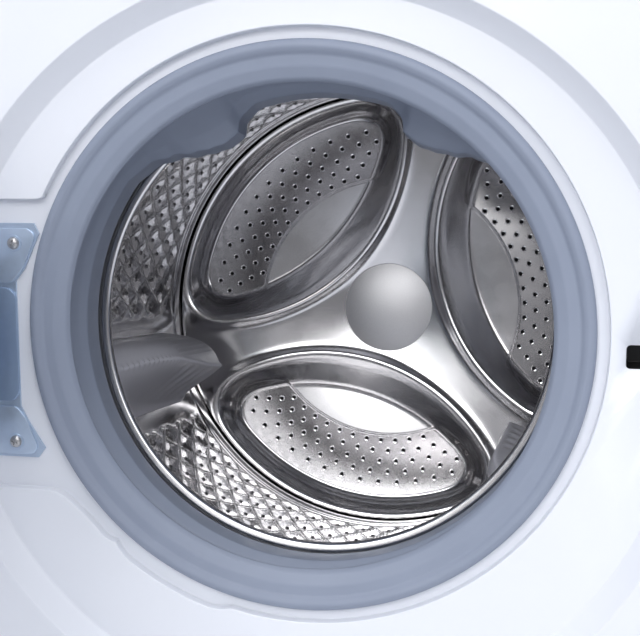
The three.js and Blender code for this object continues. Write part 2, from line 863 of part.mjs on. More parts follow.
function buttonOutline(x, grow) {
  const half = optionWidth / 2 + grow;
  const high = optionHeight / 2 + grow;
  return roundedRectangle([x - half, x + half], [optionZ - high, optionZ + high], high * 0.6);
}

const optionXs = [displayX - optionSpacing / 2, displayX + optionSpacing / 2];
const displaySpan = [displayX - displayWidth / 2, displayX + displayWidth / 2];
const displayZ = [controlHeight - displayHeight / 2 + 8, controlHeight + displayHeight / 2 + 8];
const dialShaft = 5;

function controlFascia() {
  const backY = frontY + frontReturn;
  const body = prism('x', fasciaSection(0, backY), [-halfWidth, halfWidth], 3);
  const hollow = prism(
    'x', fasciaSection(moulding, backY + 1), [-halfWidth + moulding, halfWidth - moulding], 3,
  );
  const plan = roundedRectangle(
    [-halfWidth, halfWidth], [fasciaFrontY, backY + 60], cornerRadius,
  );
  const rounded = prism('z', plan, [fasciaBottom - 1, fasciaTop + 1], 3);
  const through = [fasciaFrontY - 1, fasciaBackY + 1];
  const drawerHole = prism('y', roundedRectangle(drawerX, drawerZ, 6), through, 2);
  const displayHole = prism('y', roundedRectangle(displaySpan, displayZ, 5), through, 2);
  return cutBy(
    common(cutBy(body, hollow), rounded),
    drawerHole,
    displayHole,
    rod('y', dialShaft + 2, through, [dialX, controlHeight]),
    rod('y', powerRadius + buttonGap, through, [powerX, controlHeight], middleSides),
    rod('y', startRadius + buttonGap, through, [startX, controlHeight], middleSides),
    ...optionXs.map((x) => prism('y', buttonOutline(x, buttonGap), through, 2)),
  );
}

function displayWindow() {
  const inset = (range) => [range[0] + buttonGap, range[1] - buttonGap];
  const plate = roundedRectangle(inset(displaySpan), inset(displayZ), 4.6);
  return prism('y', plate, [fasciaFrontY + 0.3, fasciaBackY], 2);
}

// Control board carrier: a tray on four posts, with the display's tower and the dial's encoder.
const boardY = [fasciaBackY + 11, fasciaBackY + 14];

function controlBoard() {
  const x = [drawerX[1] + 20, halfWidth - 16];
  const z = [fasciaBottom + 9, fasciaTop - 9];
  const post = 5;
  const tray = joined(
    box(x, boardY, z),
    box(x, [boardY[0], boardY[1] + 12], [z[0], z[0] + 2]),
    box(x, [boardY[0], boardY[1] + 12], [z[1] - 2, z[1]]),
  );
  const posts = [];
  for (const postX of [x[0] + 10, x[1] - 10]) {
    for (const postZ of [z[0] + 8, z[1] - 8]) {
      posts.push(rod('y', post, [fasciaBackY + gap, boardY[0] + 1], [postX, postZ], 10));
    }
  }
  const tower = box(
    [displaySpan[0] + 6, displaySpan[1] - 6], [fasciaBackY + gap, boardY[0] + 1], [displayZ[0] + 4, displayZ[1] - 4],
  );
  const encoder = rod('y', 9, [boardY[0] - 3, boardY[0] + 1], [dialX, controlHeight]);
  return joined(tray, tower, encoder, ...posts);
}

// A push button: a cap through the fascia with a retaining flange behind it.
function roundButton(x, radius) {
  const back = boardY[0] - buttonTravel - gap * 2;
  return joined(
    turned(
      [
        [0, fasciaFrontY - buttonProud],
        [radius - 1.5, fasciaFrontY - buttonProud],
        [radius, fasciaFrontY - buttonProud + 1.5],
        [radius, fasciaBackY + gap],
        [radius + 2, fasciaBackY + gap],
        [radius + 2, fasciaBackY + gap + 2],
        [0, fasciaBackY + gap + 2],
      ],
      [x, controlHeight],
      middleSides,
    ),
    rod('y', 4, [fasciaBackY + gap, back], [x, controlHeight], 8),
  );
}

function optionButton(x) {
  return joined(
    prism('y', buttonOutline(x, 0), [fasciaFrontY - buttonProud, fasciaBackY + gap + 1], 2),
    prism('y', buttonOutline(x, 2), [fasciaBackY + gap, fasciaBackY + gap + 2], 2),
    rod('y', 3, [fasciaBackY, boardY[0] - buttonTravel - gap * 2], [x, optionZ], 8),
  );
}

// Cycle dial: a fluted knob on a shaft into the encoder.
function cycleDial() {
  const flutes = 18;
  const ring = [];
  for (let i = 0; i < flutes * 2; i++) {
    const radius = i % 2 === 0 ? dialRadius : dialRadius - 1.2;
    const angle = (PI * i) / flutes;
    ring.push([dialX + radius * cos(angle), controlHeight + radius * sin(angle)]);
  }
  const skirt = fasciaFrontY - 0.6;
  const knob = joined(
    prism('y', outline(ring), [skirt - dialHeight * 0.75, skirt]),
    turned(
      [
        [0, skirt - dialHeight],
        [dialRadius - 8, skirt - dialHeight],
        [dialRadius - 3, skirt - dialHeight * 0.75],
        [dialRadius - 3, skirt - 4],
        [0, skirt - 4],
      ],
      [dialX, controlHeight],
      middleSides,
    ),
    rod('y', dialShaft, [skirt - 2, boardY[0] - 3 - gap], [dialX, controlHeight]),
  );
  const pointer = box(
    [dialX - 1.2, dialX + 1.2],
    [skirt - dialHeight - 1, skirt - dialHeight + 1],
    [controlHeight + dialRadius * 0.35, controlHeight + dialRadius],
  );
  return cutBy(knob, pointer);
}

// Detergent drawer: a tray of three compartments behind a front with a finger recess below.
const compartments = [0.46, 0.3, 0.24];

function detergentDrawer() {
  const face = prism(
    'y',
    roundedRectangle([drawerX[0] + 0.8, drawerX[1] - 0.8], [drawerZ[0] + 0.8, drawerZ[1] - 0.8], 5.2),
    [fasciaFrontY, trayY[0]],
    3,
  );
  const tray = box(trayX, [trayY[0] - 1, trayY[1]], [trayZ[0], trayZ[1] - 6]);
  const wall = 2.5;
  const pockets = [];
  let start = trayX[0] + wall;
  const usable = trayX[1] - trayX[0] - wall * (compartments.length + 1);
  for (const share of compartments) {
    const end = start + usable * share;
    const pocket = roundedRectangle([start, end], [trayY[0] + wall, trayY[1] - wall], 9);
    pockets.push(prism('z', pocket, [trayZ[0] + wall, trayZ[1] + 5], 3));
    start = end + wall;
  }
  const middle = (drawerX[0] + drawerX[1]) / 2;
  const gripX = [middle - 50, middle + 50];
  const grip = box(gripX, [fasciaFrontY - 1, trayY[0] - 3], [drawerZ[0] + 8, drawerZ[0] + 27]);
  const gripHollow = box(gripX, [fasciaFrontY + 3, trayY[0] - 3], [drawerZ[0] + 8, drawerZ[0] + 36]);
  return cutBy(joined(face, tray), ...pockets, grip, gripHollow);
}

// Dispenser housing: the open-fronted box that the drawer slides in, with its outlet below.
function dispenserHousing() {
  const y = fasciaBackY + gap;
  const grown = (range, by) => [range[0] - by, range[1] + by];
  const collarEnd = trayY[0] + 3;
  const collar = box(grown(drawerX, 3.5), [y, collarEnd], grown(drawerZ, 3.5));
  const body = box(housingX, [y + 1, housingRearY], housingZ);
  const nozzle = rod('z', spigotRadius, [nozzleEnd, housingZ[0] + 1], [nozzleX, nozzleY]);
  const collarCavity = box(grown(drawerX, 0.5), [y - 1, collarEnd - 2], grown(drawerZ, 0.5));
  const cavity = box(
    grown(trayX, housingClearance), [y - 1, trayY[1] + housingClearance], grown(trayZ, housingClearance),
  );
  const bore = rod('z', spigotRadius - 3, [nozzleEnd - 1, trayZ[0]], [nozzleX, nozzleY]);
  return cutBy(joined(collar, body, nozzle), collarCavity, cavity, bore);
}

// Water inlet valve: a twin solenoid block with threaded inlets through the rear panel and a pair of
// hoses forward to the dispenser.
function inletValve() {
  const blockY = [rearY - sheet - gap - 46, rearY - sheet - gap];
  const block = box([inletXs[0] - 22, inletXs[1] + 22], blockY, [inletZ - 16, inletZ + 16]);
  const pieces = [block];
  for (const x of inletXs) {
    pieces.push(rod('y', inletRadius, [blockY[1] - 1, rearY + 14], [x, inletZ]));
    pieces.push(box([x - 15, x + 15], [blockY[0] + 6, blockY[0] + 36], [inletZ - 52, inletZ - 14]));
    const start = new THREE.Vector3(x, blockY[0] + 1, inletZ);
    const end = new THREE.Vector3(x, housingRearY + gap, inletZ - 8);
    const third = (start.y - end.y) / 3;
    const path = new THREE.CubicBezierCurve3(
      start,
      start.clone().add(new THREE.Vector3(0, -third, 0)),
      end.clone().add(new THREE.Vector3(0, third, 0)),
      end,
    );
    pieces.push(stitched(ringsAlong(path, Array(6).fill(inletHose), 10)));
  }
  return joined(...pieces);
}

// Drain pump: the filter's housing, volute and motor in line, on a foot on the base pan.
const pumpBore = filterRadius - 1;

function drainPump() {
  const y = pumpFrontY;
  const barrel = turned(
    [
      [0, y],
      [filterRadius + 8, y],
      [filterRadius + 8, y + 5],
      [filterRadius + 4, y + 5],
      [filterRadius + 4, y + 86],
      [filterRadius + 10, y + 86],
      [filterRadius + 10, y + 113],
      [filterRadius - 4, y + 113],
      [filterRadius - 4, y + pumpLength],
      [0, y + pumpLength],
    ],
    [filterX, filterZ],
    middleSides,
  );
  const foot = box([filterX - 22, filterX + 22], [y + 24, y + 110], [panTop + gap, filterZ - 20]);
  const nozzle = rod('x', spigotRadius, [pumpNozzleX, filterX - 24], [pumpNozzleY, filterZ]);
  const bore = rod('y', pumpBore, [y - 1, y + 78], [filterX, filterZ], middleSides);
  const nozzleBore = rod('x', spigotRadius - 4, [pumpNozzleX - 1, filterX], [pumpNozzleY, filterZ]);
  return cutBy(joined(barrel, foot, nozzle), bore, nozzleBore);
}

function filterCap() {
  const y = pumpFrontY - gap;
  const plug = turned(
    [
      [0, y - 8],
      [filterRadius, y - 8],
      [filterRadius + 3, y - 5],
      [filterRadius + 3, y],
      [pumpBore - 0.8, y],
      [pumpBore - 0.8, y + 22],
      [pumpBore - 6, y + 24],
      [pumpBore - 6, y + 60],
      [0, y + 60],
    ],
    [filterX, filterZ],
    middleSides,
  );
  const grip = prism(
    'y', roundedRectangle([filterX - 24, filterX + 24], [filterZ - 4, filterZ + 4], 3.5), [y - 19, y - 7], 3,
  );
  return joined(plug, grip);
}

// Door lock: the catch's case behind the slot in the door's seat.
function doorLock() {
  const front = seatFaceY + sheet + gap;
  const body = box([latchX - 17, latchX + 47], [front, front + 38], [latchHeight - 41, latchHeight + 41]);
  const slot = box([latchX - 12, latchX + 13], [front - 1, front + 27], [latchHeight - 9, latchHeight + 9]);
  return cutBy(body, slot);
}

// Hinge bracket: a plate screwed into the pocket, with two leaves that bend forward to its knuckles.
const hingePlateY = [channelFloorY - gap - hingePlate, channelFloorY - gap];
// The pin's hole, wide enough for its flats to turn about the pin.
const hingeBore = (hingePinRadius + gap / 2) / cos(PI / smallSides);
const hingeLeafX = [hingeX + hingeKnuckleRadius - hingePlate - 0.5, hingeX + hingeKnuckleRadius - 0.5];
const knuckleZs = [-1, 1].map((side) => {
  const near = hingeHeight + side * (hingeArmKnuckle / 2 + gap);
  const far = near + side * hingeKnuckle;
  return [min(near, far), max(near, far)];
});

function hingeBracket() {
  const plate = outline([
    [-250, 82],
    [-215, 82],
    [-211, 74],
    [-224, 46],
    [-232, 36],
    [-232, -66],
    [-226, -78],
    [-212, -100],
    [-218, -108],
    [-256, -108],
    [-265.5, -80],
    [-266, -20],
    [-262.5, 50],
  ]);
  const pad = roundedRectangle([-260, -237], [-56, 27], 5);
  const pieces = [
    prism('y', plate, hingePlateY),
    prism('y', pad, [hingePlateY[0] - hingePlate, hingePlateY[1] - 0.5], 3),
  ];
  for (const z of knuckleZs) {
    pieces.push(box(hingeLeafX, [hingeY, hingePlateY[1]], z));
    pieces.push(rod('z', hingeKnuckleRadius, z, [hingeX, hingeY]));
  }
  pieces[0].translate(0, 0, openingHeight);
  pieces[1].translate(0, 0, openingHeight);
  return cutBy(joined(...pieces), rod('z', hingeBore, [knuckleZs[0][0] - 1, knuckleZs[1][1] + 1], [hingeX, hingeY]));
}

function hingePin() {
  const z = [knuckleZs[0][0] - gap, knuckleZs[1][1] + gap];
  const head = 2.5;
  return turnedUpright(
    [
      [0, z[0] - head],
      [hingePinRadius + 2, z[0] - head],
      [hingePinRadius + 2, z[0]],
      [hingePinRadius, z[0]],
      [hingePinRadius, z[1]],
      [hingePinRadius + 2, z[1]],
      [hingePinRadius + 2, z[1] + head],
      [0, z[1] + head],
    ],
    [hingeX, hingeY],
  );
}

// Door. Each piece is drawn shut, then moved into the leaf's own frame, whose origin is on the hinge.
const doorRearY = seatFaceY - doorSeatGap;
const doorSplitY = doorRearY - 21;
const doorWall = 3;

function shutOnLeaf(geometry) {
  return geometry.translate(-hingeX, -hingeY, 0);
}

function doorShell() {
  // The crowned outer face with its rounded rim, before the window is cut out.
  const rim = doorSplitY;
  const crown = doorRearY - doorThickness;
  return turned(
    [
      [doorRadius, rim],
      [doorRadius, rim - 10],
      [doorRadius - 6, rim - 20],
      [doorRadius - 22, rim - 27],
      [0, crown],
      [0, crown + doorWall],
      [doorRadius - 23.5, rim - 27 + doorWall],
      [doorRadius - 8.2, rim - 17.6],
      [doorRadius - doorWall, rim - 9.2],
      [doorRadius - doorWall, rim],
    ],
    [0, seatHeight],
  );
}

function windowCutter(clearance) {
  const span = [doorRearY - doorThickness - 5, doorSplitY - 20];
  return rod('y', doorWindowRadius - clearance, span, [0, seatHeight + doorWindowRise], roundSides);
}

// The gap in the door's edge that the hinge leaves swing through.
function hingeNotch() {
  const half = hingeArmKnuckle / 2 + hingeKnuckle + 6;
  return box([-doorRadius - 5, hingeX + 11], [hingeY - 16, 5], [hingeHeight - half, hingeHeight + half]);
}

function doorOuterCover() {
  return shutOnLeaf(cutBy(doorShell(), windowCutter(0), hingeNotch()));
}

function doorWindow() {
  return shutOnLeaf(common(doorShell(), windowCutter(0.4)));
}

const hookPivotY = doorRearY - 8;
const hookBarrel = 4;
const hookHalf = 11.6;
const bowlFlangeRadius = bowlRadius + 14;

function doorInnerFrame() {
  const front = doorSplitY + gap;
  const rear = doorRearY;
  const ring = turned(
    [
      [bowlRadius, rear],
      [doorRadius - 12, rear],
      [doorRadius - 3, rear - 9],
      [doorRadius - 0.5, front],
      [doorRadius - 3.5, front],
      [doorRadius - 6, rear - 10],
      [doorRadius - 13.5, rear - doorWall],
      [bowlRadius, rear - doorWall],
    ],
    [0, seatHeight],
  );
  const socket = box(
    [latchX - 9, latchX + 9],
    [hookPivotY - hookBarrel - 3, rear - 1],
    [latchHeight - hookHalf - 3, latchHeight + hookHalf + 3],
  );
  const socketVoid = box(
    [latchX - hookBarrel - 1, latchX + hookBarrel + 1],
    [hookPivotY - hookBarrel - 0.5, rear + 1],
    [latchHeight - hookHalf - 0.5, latchHeight + hookHalf + 0.5],
  );
  const bowlHole = rod('y', bowlRadius + 6, [front - 20, rear + 5], [0, openingHeight], roundSides);
  return shutOnLeaf(cutBy(joined(ring, socket), socketVoid, bowlHole, hingeNotch()));
}

function doorBowl() {
  const seat = doorRearY - doorWall - gap;
  const end = doorRearY + bowlDepth;
  return shutOnLeaf(turned(
    [
      [bowlFlangeRadius, seat - doorWall],
      [bowlFlangeRadius, seat],
      [bowlRadius, seat],
      [bowlRadius - 12, seat + bowlDepth * 0.55],
      [bowlRadius - 40, end - 16],
      [bowlEndRadius, end - 5],
      [0, end],
      [0, end - bowlWall],
      [bowlEndRadius - 1, end - 5 - bowlWall],
      [bowlRadius - 42, end - 16 - bowlWall],
      [bowlRadius - 15.5, seat + bowlDepth * 0.55 - bowlWall / 2],
      [bowlRadius - bowlWall, seat - doorWall],
    ],
    [0, openingHeight],
  ));
}

// Hinge arm: a knuckle round the pin and a cranked plate onto the inner frame.
function hingeArm() {
  const z = [hingeHeight - hingeArmKnuckle / 2, hingeHeight + hingeArmKnuckle / 2];
  const seat = doorRearY - doorWall - gap;
  const plate = outline([
    [hingeX + 4, hingeY + 1],
    [hingeX + 14, hingeY + 1],
    [hingeX + 22, seat],
    [hingeX + 66, seat],
    [hingeX + 66, seat - hingePlate],
    [hingeX + 23.5, seat - hingePlate],
    [hingeX + 15.5, hingeY - 1],
    [hingeX + 4, hingeY - 1],
  ]);
  const knuckle = rod('z', hingeKnuckleRadius, z, [hingeX, hingeY]);
  const bore = rod('z', hingeBore, [z[0] - 1, z[1] + 1], [hingeX, hingeY]);
  return shutOnLeaf(cutBy(joined(knuckle, prism('z', plate, z)), bore));
}

function latchHook() {
  const shank = outline([
    [latchX - 2.5, hookPivotY],
    [latchX + 2.5, hookPivotY],
    [latchX + 2.5, seatFaceY + 12],
    [latchX + 7, seatFaceY + 14],
    [latchX + 5, seatFaceY + 19],
    [latchX, seatFaceY + 22],
    [latchX - 2.5, seatFaceY + 20],
  ]);
  return shutOnLeaf(joined(
    rod('z', hookBarrel, [latchHeight - hookHalf, latchHeight + hookHalf], [latchX, hookPivotY], 16),
    prism('z', shank, [latchHeight - 5.5, latchHeight + 5.5]),
  ));
}

// Door gasket: one moulded rubber. Its bead and lip stand upright on the front panel, its bellows and
// groove lean with the tub, and it is blended between the two.
const blendFromY = 12;
const blendToY = 58;

function doorGasket() {
  const inPanel = openingRadius - 0.4;
  const onCollar = collarRadius + gap;
  const inCollar = collarRadius - collarWall - gap;
  const section = [
    [inPanel, channelFloorY - gap],
    [inPanel, channelFloorY + openingCollar + gap],
    [inPanel + 5, channelFloorY + openingCollar + 0.6],
    [211, 19.5],
    [215.5, 36],
    [207, 51],
    [onCollar + 4.2, 60],
    [onCollar + 4.2, 80],
    [onCollar, 80],
    [onCollar, collarFront - 0.5],
    [inCollar, collarFront - 0.5],
    [inCollar, 87],
    [inCollar - 4.7, 87],
    [inCollar - 5.2, 60],
    [203, 53],
    [212, 36],
    [205, 18.5],
    [190.5, 8.5],
    [188.7, 5],
    [192, 0.5],
    [200, -3.5],
    [208.5, -4],
    [214, -8],
    [220, -3],
    [219.5, channelFloorY - gap],
  ];
  const rings = section.map(([radius, y]) => {
    const lean = THREE.MathUtils.smoothstep(y, blendFromY, blendToY);
    return Array.from({ length: roundSides }, (_, k) => {
      const around = aroundDrum(radius, y, (360 * k) / roundSides);
      const upright = around.clone().add(new THREE.Vector3(0, 0, openingHeight));
      return upright.lerp(fromWashUnit(...around), lean);
    });
  });
  return stitched(rings, true);
}

// Tub, in its own leaning frame. Pieces drawn in the machine's frame are brought into it here.
function intoWashUnit(geometry) {
  return geometry.applyMatrix4(washUnit.matrixWorld.clone().invert());
}

const fillSpigot = new THREE.Vector3(nozzleX, nozzleY, 765);
const sumpSpigot = new THREE.Vector3(60, 215, 212);
const tubFlange = 12;

function tubFront() {
  const back = tubSplit - gap / 2;
  const shell = turned([
    [collarRadius - collarWall, collarFront],
    [collarRadius, collarFront],
    [collarRadius, 82],
    [258, 88],
    [tubOuter, 101],
    [tubOuter, back - 8],
    [tubOuter + tubFlange, back - 8],
    [tubOuter + tubFlange, back],
    [tubInner, back],
    [tubInner, 103],
    [256, 92],
    [211, 86.2],
    [collarRadius, collarFront + collarLength],
    [collarRadius - collarWall, collarFront + collarLength],
  ]);
  const bore = spigotRadius - 4;
  const fill = rod('z', spigotRadius, [fillSpigot.z - 55, fillSpigot.z], [fillSpigot.x, fillSpigot.y]);
  const fillBore = rod('z', bore, [fillSpigot.z - 80, fillSpigot.z + 1], [fillSpigot.x, fillSpigot.y]);
  const sump = rod('z', spigotRadius, [sumpSpigot.z, sumpSpigot.z + 28], [sumpSpigot.x, sumpSpigot.y]);
  const sumpBore = rod('z', bore, [sumpSpigot.z - 1, sumpSpigot.z + 60], [sumpSpigot.x, sumpSpigot.y]);
  return cutBy(
    joined(shell, intoWashUnit(fill), intoWashUnit(sump)),
    turned([[0, 103], [tubInner, 103], [tubInner, back], [0, back]]),
    intoWashUnit(fillBore),
    intoWashUnit(sumpBore),
  );
}

function springPlate(side) {
  const { tubEnd } = springEnds(side);
  const inward = new THREE.Vector3(-tubEnd.x, 0, drumAxisHeight - tubEnd.z).normalize();
  const plate = box([-11, 11], [-earThickness / 2, earThickness / 2], [-12, springLug + 2.5])
    .rotateY(Math.atan2(inward.x, inward.z))
    .translate(tubEnd.x, tubEnd.y, tubEnd.z);
  const hole = rod('y', springHole, [tubEnd.y - 5, tubEnd.y + 5], [tubEnd.x, tubEnd.z], 12);
  return cutBy(plate, hole);
}

function tubRear() {
  const front = tubSplit + gap / 2;
  const seat = statorY[0] - gap;
  const shell = turned(
    [
      [tubInner, front],
      [tubInner, hubFace - 4],
      [tubInner - 9, hubFace + 7],
      [60, bossFront],
      [sealRadius + runningGap, bossFront],
      [sealRadius + runningGap, sealY[1] + gap],
      [bearingRadius + runningGap, sealY[1] + gap],
      [bearingRadius + runningGap, frontBearingY[1] + gap],
      [shaftRadius + 5, frontBearingY[1] + gap],
      [shaftRadius + 5, rearBearingY[0] - gap],
      [bearingRadius - 5 + runningGap, rearBearingY[0] - gap],
      [bearingRadius - 5 + runningGap, bossBack],
      [bearingHousingRadius, bossBack],
      [bearingHousingRadius, seat],
      [78, seat],
      [78, bossFront + 4],
      [tubOuter - 8, hubFace + 12],
      [tubOuter, hubFace],
      [tubOuter, front + 8],
      [tubOuter + tubFlange, front + 8],
      [tubOuter + tubFlange, front],
    ],
    [0, 0],
    middleSides,
  );
  const ribs = [];
  const ribCount = 5;
  for (let i = 0; i < ribCount; i++) {
    const rib = outline([
      [rotorRadius + 8, hubFace + 22],
      [tubOuter - 10, hubFace + 9],
      [tubOuter - 10, hubFace + 12 + tubRibs / 2],
      [rotorRadius + 8, hubFace + 26 + tubRibs],
    ]);
    ribs.push(prism('z', rib, [-2.5, 2.5]).rotateY((2 * PI * (i + 0.25)) / ribCount));
  }
  const lugs = [-1, 1].flatMap((side) => {
    const { tubEnd } = damperEnds(side);
    const inward = new THREE.Vector3(-tubEnd.x, 0, drumAxisHeight - tubEnd.z).normalize();
    return [...clevis(tubEnd, damperEye + 8.5, inward), springPlate(side)];
  });
  return joined(shell, ...ribs, ...lugs.map(intoWashUnit));
}

const counterweightY = [46, 83];

function counterweight(from, to) {
  return prism('y', sector(collarRadius + 14, tubOuter + 4, from, to, 14), counterweightY);
}

function bearing(radius, y) {
  return turned(
    [
      [shaftRadius + runningGap, y[0]],
      [radius, y[0]],
      [radius, y[1]],
      [shaftRadius + runningGap, y[1]],
    ],
    [0, 0],
    middleSides,
  );
}

function stator() {
  const teeth = 12;
  const points = [];
  for (let i = 0; i < teeth; i++) {
    for (const [radius, offset] of [[84, -7], [statorRadius, -11], [statorRadius, 11], [84, 7]]) {
      const angle = rad((360 * i) / teeth + offset);
      points.push([radius * cos(angle), radius * sin(angle)]);
    }
  }
  const shape = outline(points);
  const hole = new THREE.Path();
  hole.absarc(0, 0, 60, 0, 2 * PI, true);
  shape.holes.push(hole);
  return prism('y', shape, statorY, 8);
}

// Drum

function drumShell() {
  const y = [drumMouthDepth + drumRoll + 15, drumSeam + 13];
  return turned([
    [drumRadius, y[0]],
    [drumRadius + drumSheet, y[0]],
    [drumRadius + drumSheet, y[1]],
    [drumRadius, y[1]],
  ]);
}

function drumFrontRing() {
  const y = drumMouthDepth - 0.3;
  const lap = drumRadius - gap;
  return turned([
    [drumMouthRadius, y + drumRoll],
    [drumMouthRadius + 1.8, y + 1.1],
    [drumMouthRadius + 6, y],
    [250, y + 8],
    [lap, y + 19],
    [lap, y + 19 + drumLap],
    [lap - drumSheet, y + 19 + drumLap],
    [lap - drumSheet, y + 20],
    [249.8, y + 9.6],
    [drumMouthRadius + 11.5, y + 2.4],
    [drumMouthRadius + 7, y + 10.5],
  ]);
}

// How far the back of the drum lies behind its seam, at a radius and an angle in degrees. It dishes
// towards the hub, and a leaf-shaped hollow is sunk between each pair of arms. The hollow's wall is
// narrow along the rim and wide towards the hub, where two arcs bound it: its top and its foot.
function drumBackDepth(radius, degrees) {
  const { clamp, smoothstep } = THREE.MathUtils;
  const rimRadius = drumRadius - 2;
  const dish = hubDish * clamp((rimRadius - radius) / (rimRadius - hubRadius), 0, 1);
  let sunk = 0;
  for (let i = 0; i < lifterCount; i++) {
    const from = rad(degrees - (armAngle + 60 + i * 120));
    const along = radius * cos(from);
    const across = radius * sin(from);
    const belowTop = lobeTopArc - Math.hypot(along - lobeTopReach - lobeTopArc, across);
    const aboveFloor = Math.hypot(along - lobeFloorReach - lobeFloorArc, across) - lobeFloorArc;
    const hubSide = max(belowTop, 0) / (max(belowTop, 0) + max(aboveFloor, 0) + gap);
    const rimSide = (lobeRim - radius) / lobeRimWall;
    sunk = max(sunk, lobeDepth * smoothstep(hubSide, 0, 1) * smoothstep(rimSide, 0, 1));
  }
  return dish + sunk;
}

function drumBack() {
  const lap = drumRadius - gap;
  const radii = [20, hubRadius, 100, 150, 200, 240, lap - drumSheet - 1];
  const ring = (radius, y) => Array.from({ length: roundSides }, (_, k) => {
    const degrees = (360 * k) / roundSides;
    return aroundDrum(radius, y(degrees), degrees);
  });
  const fronts = radii.map((radius) => ring(radius, (degrees) => drumSeam + drumBackDepth(radius, degrees)));
  const backs = radii.map((radius) => (
    ring(radius, (degrees) => drumSeam + drumSheet + drumBackDepth(radius, degrees))
  ));
  const level = (y) => () => drumSeam + y;
  const flangeRings = [
    ring(lap, level(1)),
    ring(lap, level(12)),
    ring(lap - drumSheet, level(12)),
  ];
  return stitched([...fronts, ...flangeRings, ...backs.reverse()], true);
}

// Lifter: a hollow-backed paddle on the drum's wall, blunt at both ends.
function lifter(index) {
  const foot = drumRadius * cos(PI / roundSides) - gap;
  const middle = lifterAngle + index * (360 / lifterCount);
  const section = [
    [-1, 0],
    [-0.8, 0.16],
    [-0.46, 0.68],
    [-0.22, 0.94],
    [0, 1],
    [0.22, 0.94],
    [0.46, 0.68],
    [0.8, 0.16],
    [1, 0],
    [0, 0],
  ];
  const stations = [
    [0, 0.7, 0.12],
    [0.05, 0.88, 0.55],
    [0.16, 1, 0.88],
    [0.45, 1, 1],
    [0.72, 1, 1],
    [0.9, 0.85, 0.7],
    [1, 0.6, 0.12],
  ];
  const rings = stations.map(([share, width, height]) => section.map(([across, up]) => {
    const degrees = middle + THREE.MathUtils.radToDeg((across * width * lifterWidth) / 2 / drumRadius);
    const depth = lifterFront + share * (lifterBack - lifterFront);
    return aroundDrum(foot - up * height * lifterHeight, depth, degrees);
  }));
  return stitched(rings);
}

function hubCap() {
  const back = hubFace - gap;
  return turned(
    [
      [0, back - 4.5],
      [hubRadius - 7, back - 3.8],
      [hubRadius, back - 1.2],
      [hubRadius, back],
      [0, back],
    ],
    [0, 0],
    middleSides,
  );
}

// Spider: the casting behind the drum's back, a hub with three arms that taper to the rim.
function drumSpider() {
  const front = hubFace + drumSheet + gap;
  const hub = turned(
    [
      [shaftRadius + runningGap, front],
      [hubRadius - 8, front],
      [hubRadius - 10, front + spiderLength],
      [shaftRadius + runningGap, front + spiderLength],
    ],
    [0, 0],
    24,
  );
  const arms = Array.from({ length: lifterCount }, (_, i) => {
    const rings = [[42, 25, 22], [hubRadius, 25, 22], [110, 22, 20], [200, 16, 16], [252, 13, 12]].map(([radius, half, depth]) => {
      const start = drumSeam + drumSheet + spiderStandoff + drumBackDepth(radius, armAngle);
      return [[-half, 0], [half, 0], [half * 0.6, depth], [-half * 0.6, depth]].map(([across, back]) => (
        new THREE.Vector3(radius, start + back, across)
      ));
    });
    return stitched(rings).rotateY(-rad(armAngle + i * 120));
  });
  return joined(hub, ...arms);
}

function drumShaft() {
  const front = hubFace + drumSheet + gap;
  return turned(
    [[0, front], [shaftRadius, front], [shaftRadius, shaftEnd], [0, shaftEnd]],
    [0, 0],
    middleSides,
  );
}

function rotor() {
  return turned(
    [
      [shaftRadius + runningGap, rotorY[1] - 5],
      [rotorRadius - rotorRim, rotorY[1] - 5],
      [rotorRadius - rotorRim, rotorY[0]],
      [rotorRadius, rotorY[0]],
      [rotorRadius, rotorY[1]],
      [shaftRadius + runningGap, rotorY[1]],
    ],
    [0, 0],
    middleSides,
  );
}

// Suspension

// A coil between two hooks. Each hook turns through its hole about the Y direction.
function spring(side) {
  const { tubEnd, topEnd } = springEnds(side);
  const down = tubEnd.clone().sub(topEnd).normalize();
  const front = new THREE.Vector3(0, 1, 0);
  front.addScaledVector(down, -front.dot(down)).normalize();
  const across = down.clone().cross(front);
  const length = tubEnd.distanceTo(topEnd);
  const hook = 7;
  const bite = 2.2;
  const at = (y, x, along) => topEnd
    .clone()
    .addScaledVector(front, y)
    .addScaledVector(across, x)
    .addScaledVector(down, along);
  const hookPoints = (start, inward) => [170, 130, 90, 50, 10].map((degrees) => (
    at(hook * cos(rad(degrees)), 0, start + inward * hook * (1 - sin(rad(degrees))))
  ));
  const coilStart = (length - springLength) / 2;
  const points = [...hookPoints(bite, 1), at(hook, 0, coilStart - 12)];
  const stepsPerTurn = 7;
  for (let i = 0; i <= springTurns * stepsPerTurn; i++) {
    const angle = (2 * PI * i) / stepsPerTurn;
    const along = coilStart + (springLength * i) / (springTurns * stepsPerTurn);
    points.push(at(springRadius * cos(angle), springRadius * sin(angle), along));
  }
  points.push(at(hook, 0, length - coilStart + 12), ...hookPoints(length + bite, -1).reverse());
  const curve = new THREE.CatmullRomCurve3(points);
  return stitched(ringsAlong(curve, Array(points.length).fill(springWire / 2), 4));
}

